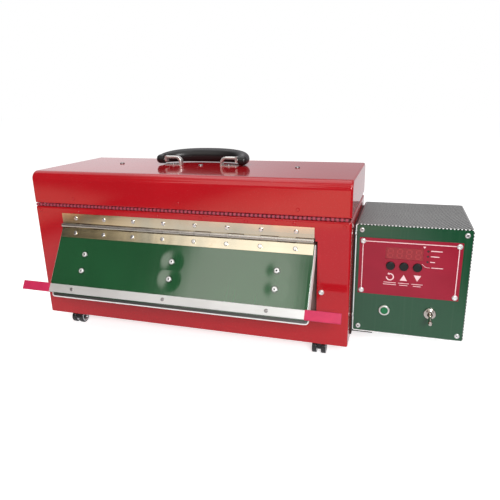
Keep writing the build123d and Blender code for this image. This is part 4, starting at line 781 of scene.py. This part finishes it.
class KILN_OT_cover(bpy.types.Operator):
    """Perforated cover of the control box: plain bends, left side and floor, holes on top and right"""
    bl_idname = "kiln.cover"
    bl_label = "Perforated cover"

    def execute(self, context):
        s = context.scene.kiln_sizes
        low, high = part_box("box_cover")
        size, middle = high - low, (low + high) / 2
        bend, sheet = s.cover_bend, s.cover_sheet
        clear_selection()
        bpy.ops.mesh.primitive_cube_add(size=1, location=middle)
        wrap = context.object
        wrap.dimensions = size
        freeze(wrap)
        edit(wrap)
        pick(wrap, lambda _, normal: abs(normal.y) > ALONG, "faces")
        bpy.ops.mesh.delete(type="ONLY_FACE")
        pick(wrap, lambda _, way: abs(way.y) > ALONG, "edges")
        bpy.ops.mesh.bevel(offset=bend, segments=4, profile=0.5, clamp_overlap=False)
        flat = 0.99
        pick(wrap, lambda _, normal: normal.z > flat or normal.x > flat, "faces")
        bpy.ops.mesh.delete(type="FACE")
        done()
        apply(wrap, "SOLIDIFY", thickness=sheet, offset=-1.0)
        top = perforated_sheet(size.x - 2 * bend, size.y)
        top.location = (low.x + bend, low.y, high.z)
        freeze(top)
        side = perforated_sheet(size.z - 2 * bend, size.y)
        side.rotation_euler = (0, math.radians(90), 0)
        side.location = (high.x, low.y, high.z - bend)
        top = join([top, wrap])
        settle(top, "box_cover_top", "kiln_body", "grey_sheet", ("box_cover",), 40)
        settle(side, "box_cover_side", "kiln_body", "grey_sheet")
        return {"FINISHED"}


INK_THICK = 0.12  # thickness of a printed mark; marks are drawn in millimetres


def face_on(ob, face_y):
    """Stands flat marks, drawn across and up, on a face of the control box."""
    ob.rotation_euler = (math.radians(90), 0, 0)
    ob.location = (CORNER.x, CORNER.y + face_y * MM, 0)


def flat_square():
    """A flat square with sides of 1 about the origin, in edit mode."""
    clear_selection()
    bpy.ops.mesh.primitive_plane_add(size=1, location=(0, 0, 0))
    ob = bpy.context.object
    edit(ob)
    return ob


def thicken(thick=INK_THICK):
    bpy.ops.mesh.extrude_region_move(TRANSFORM_OT_translate={"value": (0, 0, thick * MM)})


def bar_mark(x0, z0, x1, z1, width, thick=INK_THICK, round_off=0.0):
    """A straight line between two points of the panel."""
    run = Vector((x1 - x0, z1 - z0, 0))
    ob = flat_square()
    bpy.ops.transform.resize(value=(run.length * MM, width * MM, 1))
    if round_off:
        bpy.ops.mesh.bevel(offset=round_off * MM, segments=2, affect="VERTICES")
        bpy.ops.mesh.select_all(action="SELECT")
    thicken(thick)
    done()
    ob.rotation_euler = (0, 0, math.atan2(run.y, run.x))
    ob.location = ((x0 + x1) / 2 * MM, (z0 + z1) / 2 * MM, 0)
    freeze(ob)
    return ob


def wedge_mark(x, z, width, height, point_up):
    """A triangle about a point of the panel, its upper edges a little eased."""
    ob = flat_square()
    tip, ease = 0.5 if point_up else -0.5, 0.96
    pick(ob, lambda co: abs(co.y - tip) < 0.1)
    bpy.ops.mesh.merge(type="CENTER")
    bpy.ops.mesh.select_all(action="SELECT")
    bpy.ops.transform.resize(value=(width * MM, height * MM, 1))
    thicken()
    bpy.ops.transform.resize(value=(ease, ease, 1), center_override=(0, 0, INK_THICK * MM))
    bpy.ops.mesh.select_all(action="SELECT")
    bpy.ops.transform.translate(value=(x * MM, z * MM, 0))
    done()
    return ob


def ring_mark(x, z, outer, inner, gap_from, gap_to):
    """A ring with a gap between two directions in degrees, as on a cycle key."""
    ob = flat_ring(vertices=40, radius=inner * MM, grow=outer / inner)
    def in_gap(middle, _):
        turn = math.degrees(math.atan2(middle.y, middle.x)) % 360
        return gap_from < turn < gap_to
    pick(ob, in_gap, "faces")
    bpy.ops.mesh.delete(type="FACE")
    done()
    outward_up(ob)
    edit(ob)
    thicken()
    bpy.ops.mesh.select_all(action="SELECT")
    bpy.ops.transform.translate(value=(x * MM, z * MM, 0))
    done()
    return ob


BORDER = 5.0  # from the overlay's edge to its printed line
# plain dashes by the lamps and under the keys: from x to x, at z, and the height of their row
DASHES = (
    (613.5, 628.5, 163.4, 2.2), (613.5, 625.0, 155.4, 2.2), (613.5, 620.0, 147.3, 2.0),
    (615.6, 631.0, 139.0, 2.0), (552.2, 569.4, 112.4, 1.5), (551.6, 569.8, 109.4, 1.5),
    (572.6, 587.4, 112.4, 1.5), (574.0, 585.6, 109.4, 1.5), (590.8, 606.2, 112.4, 1.5),
    (593.0, 603.6, 109.4, 1.5),
)
DASH_SHARE = 0.55  # a dash's width to that height
# a thin line from the display to a dash, through these points
POINTER, POINTER_WIDTH = ((603.2, 143.6), (607.0, 139.8), (610.4, 138.9), (613.8, 138.9)), 0.5


class KILN_OT_overlay_print(bpy.types.Operator):
    """Lines, symbols and plain dashes printed on the overlay"""
    bl_idname = "kiln.overlay_print"
    bl_label = "Overlay print"

    def execute(self, context):
        line = context.scene.kiln_sizes.line / MM
        low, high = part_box("control_overlay")
        x0, x1 = (low.x - CORNER.x) / MM + BORDER, (high.x - CORNER.x) / MM - BORDER
        z0, z1 = low.z / MM + BORDER, high.z / MM - BORDER
        marks = [
            bar_mark(x0, z1, x1, z1, line),
            bar_mark(x0, z0, x0, z1, line),
            bar_mark(x1, z0, x1, z1, line),
            wedge_mark(604.7, 168.0, 4.0, 3.0, False),
            ring_mark(560.7, 121.0, 5.6, 4.0, 112, 178),
            wedge_mark(579.5, 121.0, 10.0, 9.0, True),
            wedge_mark(598.2, 121.4, 10.0, 9.0, False),
        ]
        arrow = wedge_mark(0, 0, 4.4, 2.8, True)
        arrow.rotation_euler = (0, 0, math.radians(112))
        arrow.location = (558.3 * MM, 125.3 * MM, 0)
        freeze(arrow)
        marks.append(arrow)
        for from_x, to_x, z, height in DASHES:
            marks.append(bar_mark(from_x, z, to_x, z, height * DASH_SHARE, round_off=0.3))
        for a, b in zip(POINTER, POINTER[1:]):
            marks.append(bar_mark(*a, *b, POINTER_WIDTH))
        ob = join(marks)
        face_on(ob, OVERLAY_FACE)
        settle(ob, "overlay_print", "kiln_body", "print_ink")
        return {"FINISHED"}


class KILN_OT_display(bpy.types.Operator):
    """Four unlit seven-part figures behind the display's window"""
    bl_idname = "kiln.display"
    bl_label = "Display figures"

    def execute(self, context):
        figures, lean, short = 4, 0.08, 0.9  # a stroke ends that short of the next, in millimetres
        high = context.scene.kiln_sizes.figure / MM
        wide, stroke = high * 0.52, high * 0.13
        low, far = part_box("display_window")
        x0, x1 = (low.x - CORNER.x) / MM, (far.x - CORNER.x) / MM
        z_mid = (low.z + far.z) / 2 / MM
        marks = []
        for i in range(figures):
            x = x0 + (x1 - x0) * (i + 0.5) / figures
            half, w = high / 2, wide / 2
            spans = [(x - w, z_mid + half, x + w, z_mid + half), (x - w, z_mid, x + w, z_mid),
                     (x - w, z_mid - half, x + w, z_mid - half)]
            for side in (-1, 1):
                for up in (0, 1):
                    spans.append((x + side * w, z_mid - half + up * half, x + side * w, z_mid + up * half))
            for a, b, c, d in spans:
                a += (b - z_mid) * lean
                c += (d - z_mid) * lean
                trim = short / math.hypot(c - a, d - b)
                a, c = a + (c - a) * trim, c - (c - a) * trim
                b, d = b + (d - b) * trim, d - (d - b) * trim
                marks.append(bar_mark(a, b, c, d, stroke, 0.1, 0.35))
        ob = join(marks)
        face_on(ob, WINDOW_FACE)
        settle(ob, "display_figures", "kiln_body", "figure_red")
        return {"FINISHED"}


class KILN_OT_element(bpy.types.Operator):
    """Wound resistance wire along the grooves of the rear wall, with straight tails"""
    bl_idname = "kiln.element"
    bl_label = "Wound element"

    def execute(self, context):
        s = context.scene.kiln_sizes
        # its depth, its rows' heights, the ends of its inner runs, where its tails start, its loops' radius
        y, rows, x_in, x_out, x_end, half = 155.0, (105.3, 131.3, 157.3, 183.3), 78.0, 430.0, 456.0, 13.0
        coil_radius, tail_radius = 0.003, 0.0014
        handle = 0.5523 * half  # of a quarter circle's curve
        clear_selection()
        bpy.ops.curve.primitive_bezier_curve_add(location=(0, 0, 0))
        path = context.object
        path.data.dimensions = "3D"
        path.data.resolution_u = 24
        path.data.splines.clear()
        spline = path.data.splines.new("BEZIER")
        knots = [(x_end, rows[0], -1, 0)]
        for i in range(3):
            x, side = (x_in, -1) if i % 2 == 0 else (x_out, 1)
            knots += [(x, rows[i], side, 0), (x + side * half, rows[i] + half, 0, 1),
                      (x, rows[i + 1], -side, 0)]
        knots.append((x_end, rows[3], 1, 0))
        spline.bezier_points.add(len(knots) - 1)
        for point, (x, z, dx, dz) in zip(spline.bezier_points, knots):
            point.co = at(x, y, z)
            point.handle_left_type = point.handle_right_type = "FREE"
            point.handle_left = at(x - dx * handle, y, z - dz * handle)
            point.handle_right = at(x + dx * handle, y, z + dz * handle)
        length = (x_end - x_in) * MM + (x_out - x_in) * MM * 2 + (x_end - x_in) * MM + 3 * math.pi * half * MM
        turns = int(length / s.turn)
        bpy.ops.mesh.primitive_circle_add(vertices=5, radius=s.wire / 2, location=(0, 0, 0))
        coil = context.object
        edit(coil)
        bpy.ops.transform.translate(value=(0, coil_radius - s.wire / 2, 0))
        done()
        apply(coil, "SCREW", axis="X", steps=9, render_steps=9, iterations=turns, screw_offset=length / turns,
              use_merge_vertices=False)
        apply(coil, "CURVE", object=path, deform_axis="POS_X")
        bpy.data.objects.remove(path)
        outward(coil)
        parts = [coil]
        tail_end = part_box("heating_element")[1].x
        for z in (rows[0], rows[3]):
            start = at(x_end - 2, y, z)
            clear_selection()
            bpy.ops.mesh.primitive_cylinder_add(vertices=16, radius=tail_radius, depth=tail_end - start.x,
                                                location=((start.x + tail_end) / 2, start.y, start.z),
                                                rotation=(0, math.radians(90), 0))
            tail = context.object
            edit(tail)
            pick(tail, lambda _, normal: abs(normal.z) > ALONG, "faces")
            bpy.ops.mesh.inset(thickness=0.0003)
            done()
            parts.append(tail)
        ob = join(parts)
        settle(ob, "wound_element", "kiln_body", "element_wire", ("heating_element",), 60)
        return {"FINISHED"}


class KILN_OT_finishes(bpy.types.Operator):
    """Gives every CAD node its finish"""
    bl_idname = "kiln.finishes"
    bl_label = "Finishes"

    def execute(self, context):
        table = finishes()
        chosen = {node: name for name, (*_, nodes) in table.items() for node in nodes}
        for name, ob in NODES.items():
            given = ob.data.materials[0].name.split(".")[0] if ob.data.materials else ""
            finish = chosen.get(name, given)
            if finish not in table:
                raise RuntimeError(f"{name} has no finish: {given}")
            ob.data.materials.clear()
            ob.data.materials.append(finish_named(finish))
        return {"FINISHED"}


# ---------------------------------------------------------------- stage
WHITE = (1, 1, 1, 1)
SENSOR = 36  # width of the camera's sensor, in millimetres
SHIFT = (-0.0228, -0.0192)  # of the picture on the sensor, in shares of its width


def floor_finish():
    """A white table that keeps the shadow.  Reflections show the dark room's floor past its wavy edges."""
    f = Finish("stage_floor")
    waves = f.noise(3.2, 2.0, 0.5, (1.0, 0.5, 1.0)) - 0.5
    x, y = f.axis("X") + waves * 0.22, f.axis("Y") + waves * 0.3
    table = x.ramp(-0.90, -0.46) * (x - y * 0.15).ramp(0.48, 0.38) * y.ramp(-0.90, -0.80)
    warm = (x + y * 0.35).ramp(-1.05, -0.52) * y.ramp(-2.0, -1.5) * x.ramp(0.26, 0.12)
    warm = warm.most(x.ramp(-0.80, -0.95) * (y - x * 0.25).ramp(-1.0, -0.8) * 0.6)
    plain = f.node("ShaderNodeBsdfDiffuse", {"Color": (0.82, 0.82, 0.82, 1.0)})
    lift = f.glow("ShaderNodeEmission", WHITE, 0.66)
    seen = f.node("ShaderNodeAddShader", {0: plain, 1: lift})
    dark_floor, warm_floor, table_top = (0.012, 0.010, 0.010), (2.0, 1.2, 0.9), (0.80, 0.78, 0.80)
    tone = f.mix(table, f.mix(warm, dark_floor, warm_floor), table_top)
    mirrored = f.glow("ShaderNodeEmission", tone)
    f.finish(f.choose(f.ray("Camera"), f.choose(f.ray("Glossy"), plain, mirrored), seen))
    return f.material


def world_finish(world, level):
    """White to the camera.  Reflections show a pale wall behind and a dim room in front with one window."""
    f = Finish("world", world)
    way = f.node("ShaderNodeTexCoord", out="Generated")
    x, y, z = [f.node("ShaderNodeSeparateXYZ", {"Vector": way}, out=k) for k in "XYZ"]
    front = y.ramp(0.12, -0.12) * z.ramp(0.93, 0.80)
    slant = x / y.least(-0.01)
    window = (slant - z * 0.35).ramp(0.0, 0.06) * slant.ramp(0.625, 0.56)
    window = window * z.ramp(0.18, 0.34) * z.ramp(0.86, 0.76)
    glow = z.ramp(0.63, 0.70) * slant.ramp(1.45, 0.45)
    window = window.most(glow * z.ramp(0.90, 0.80))
    behind = f.mix(x.ramp(-0.12, -0.55), (0.58, 0.54, 0.57), (0.97, 0.95, 0.98))
    dim = f.mix(x.ramp(0.05, -0.25), (0.30, 0.26, 0.25), (0.06, 0.055, 0.05))
    room = f.mix(front, behind, dim)
    room = f.mix(window * y.ramp(0.0, -0.1), room, (1.72, 1.62, 1.52))
    kind = "ShaderNodeBackground"
    bounced = f.choose(f.ray("Glossy"), f.glow(kind, WHITE, level), f.glow(kind, room))
    f.finish(f.choose(f.ray("Camera"), bounced, f.glow(kind, WHITE)), "ShaderNodeOutputWorld")


class KILN_OT_stage(bpy.types.Operator):
    """Pale floor, soft lamps and the camera at the photograph's angle"""
    bl_idname = "kiln.stage"
    bl_label = "Stage"

    def execute(self, context):
        st = context.scene.kiln_stage
        scene = context.scene
        clear_selection()
        bpy.ops.mesh.primitive_plane_add(size=16, location=(0, 0, 0))
        floor = context.object
        floor.name = "stage_floor"
        floor.data.materials.append(floor_finish())
        world = bpy.data.worlds.new("kiln_world")
        scene.world = world
        world_finish(world, st.room)
        for name, place, aim, size, power in (
            ("key_lamp", (0.95, -2.1, 1.25), (0.05, 0.0, 0.1), 0.8, st.key),
            ("top_lamp", (-0.2, 0.35, 2.1), (0.0, 0.0, 0.1), 1.6, st.top),
        ):
            bpy.ops.object.light_add(type="AREA", location=place)
            lamp = context.object
            lamp.name = name
            lamp.data.size = size
            lamp.data.energy = power
            lamp.rotation_mode = "QUATERNION"
            lamp.rotation_quaternion = (Vector(aim) - Vector(place)).to_track_quat("-Z", "Y")
        cos, sin = math.cos, math.sin
        look = Vector((-sin(st.yaw) * cos(st.pitch), cos(st.yaw) * cos(st.pitch), -sin(st.pitch)))
        right = Vector((cos(st.yaw), sin(st.yaw), 0))
        up = right.cross(look)
        across = right * cos(st.roll) + up * sin(st.roll)
        above = up * cos(st.roll) - right * sin(st.roll)
        bpy.ops.object.camera_add(location=st.eye)
        camera = context.object
        turn = Matrix((across, above, -look)).transposed().to_4x4()
        camera.matrix_world = Matrix.Translation(st.eye) @ turn
        camera.data.sensor_width = SENSOR
        camera.data.lens = st.lens
        camera.data.shift_x, camera.data.shift_y = SHIFT
        camera.data.clip_start = 0.01
        camera.data.clip_end = 100
        scene.camera = camera
        scene.view_settings.view_transform = "Standard"
        clear_selection()
        return {"FINISHED"}


class KILN_PT_pieces(bpy.types.Panel):
    """Sizes, colours and the steps that build the kiln's looks"""
    bl_idname = "KILN_PT_pieces"
    bl_label = "Bead annealing kiln"
    bl_space_type = "VIEW_3D"
    bl_region_type = "UI"
    bl_category = "Kiln"

    def draw(self, context):
        for group in (context.scene.kiln_colours, context.scene.kiln_sizes, context.scene.kiln_stage):
            column = self.layout.column(align=True)
            for key in group.bl_rna.properties.keys():
                if key not in ("rna_type", "name"):
                    column.prop(group, key)
        for step in STEPS:
            self.layout.operator(step.bl_idname)


STEPS = (KILN_OT_stage, KILN_OT_finishes, KILN_OT_cover, KILN_OT_overlay_print, KILN_OT_display,
         KILN_OT_element)
GROUPS = (("kiln_colours", KilnColours), ("kiln_sizes", KilnSizes), ("kiln_stage", KilnStage))
CLASSES = tuple(kind for _, kind in GROUPS) + STEPS + (KILN_PT_pieces,)


def register():
    for kind in CLASSES:
        bpy.utils.register_class(kind)
    for name, kind in GROUPS:
        setattr(bpy.types.Scene, name, bpy.props.PointerProperty(type=kind))


def unregister():
    for name, _ in GROUPS:
        delattr(bpy.types.Scene, name)
    for kind in reversed(CLASSES):
        bpy.utils.unregister_class(kind)


def main():
    register()
    for step in STEPS:
        family, call = step.bl_idname.split(".")
        getattr(getattr(bpy.ops, family), call)()


if __name__ == "__main__":
    main()
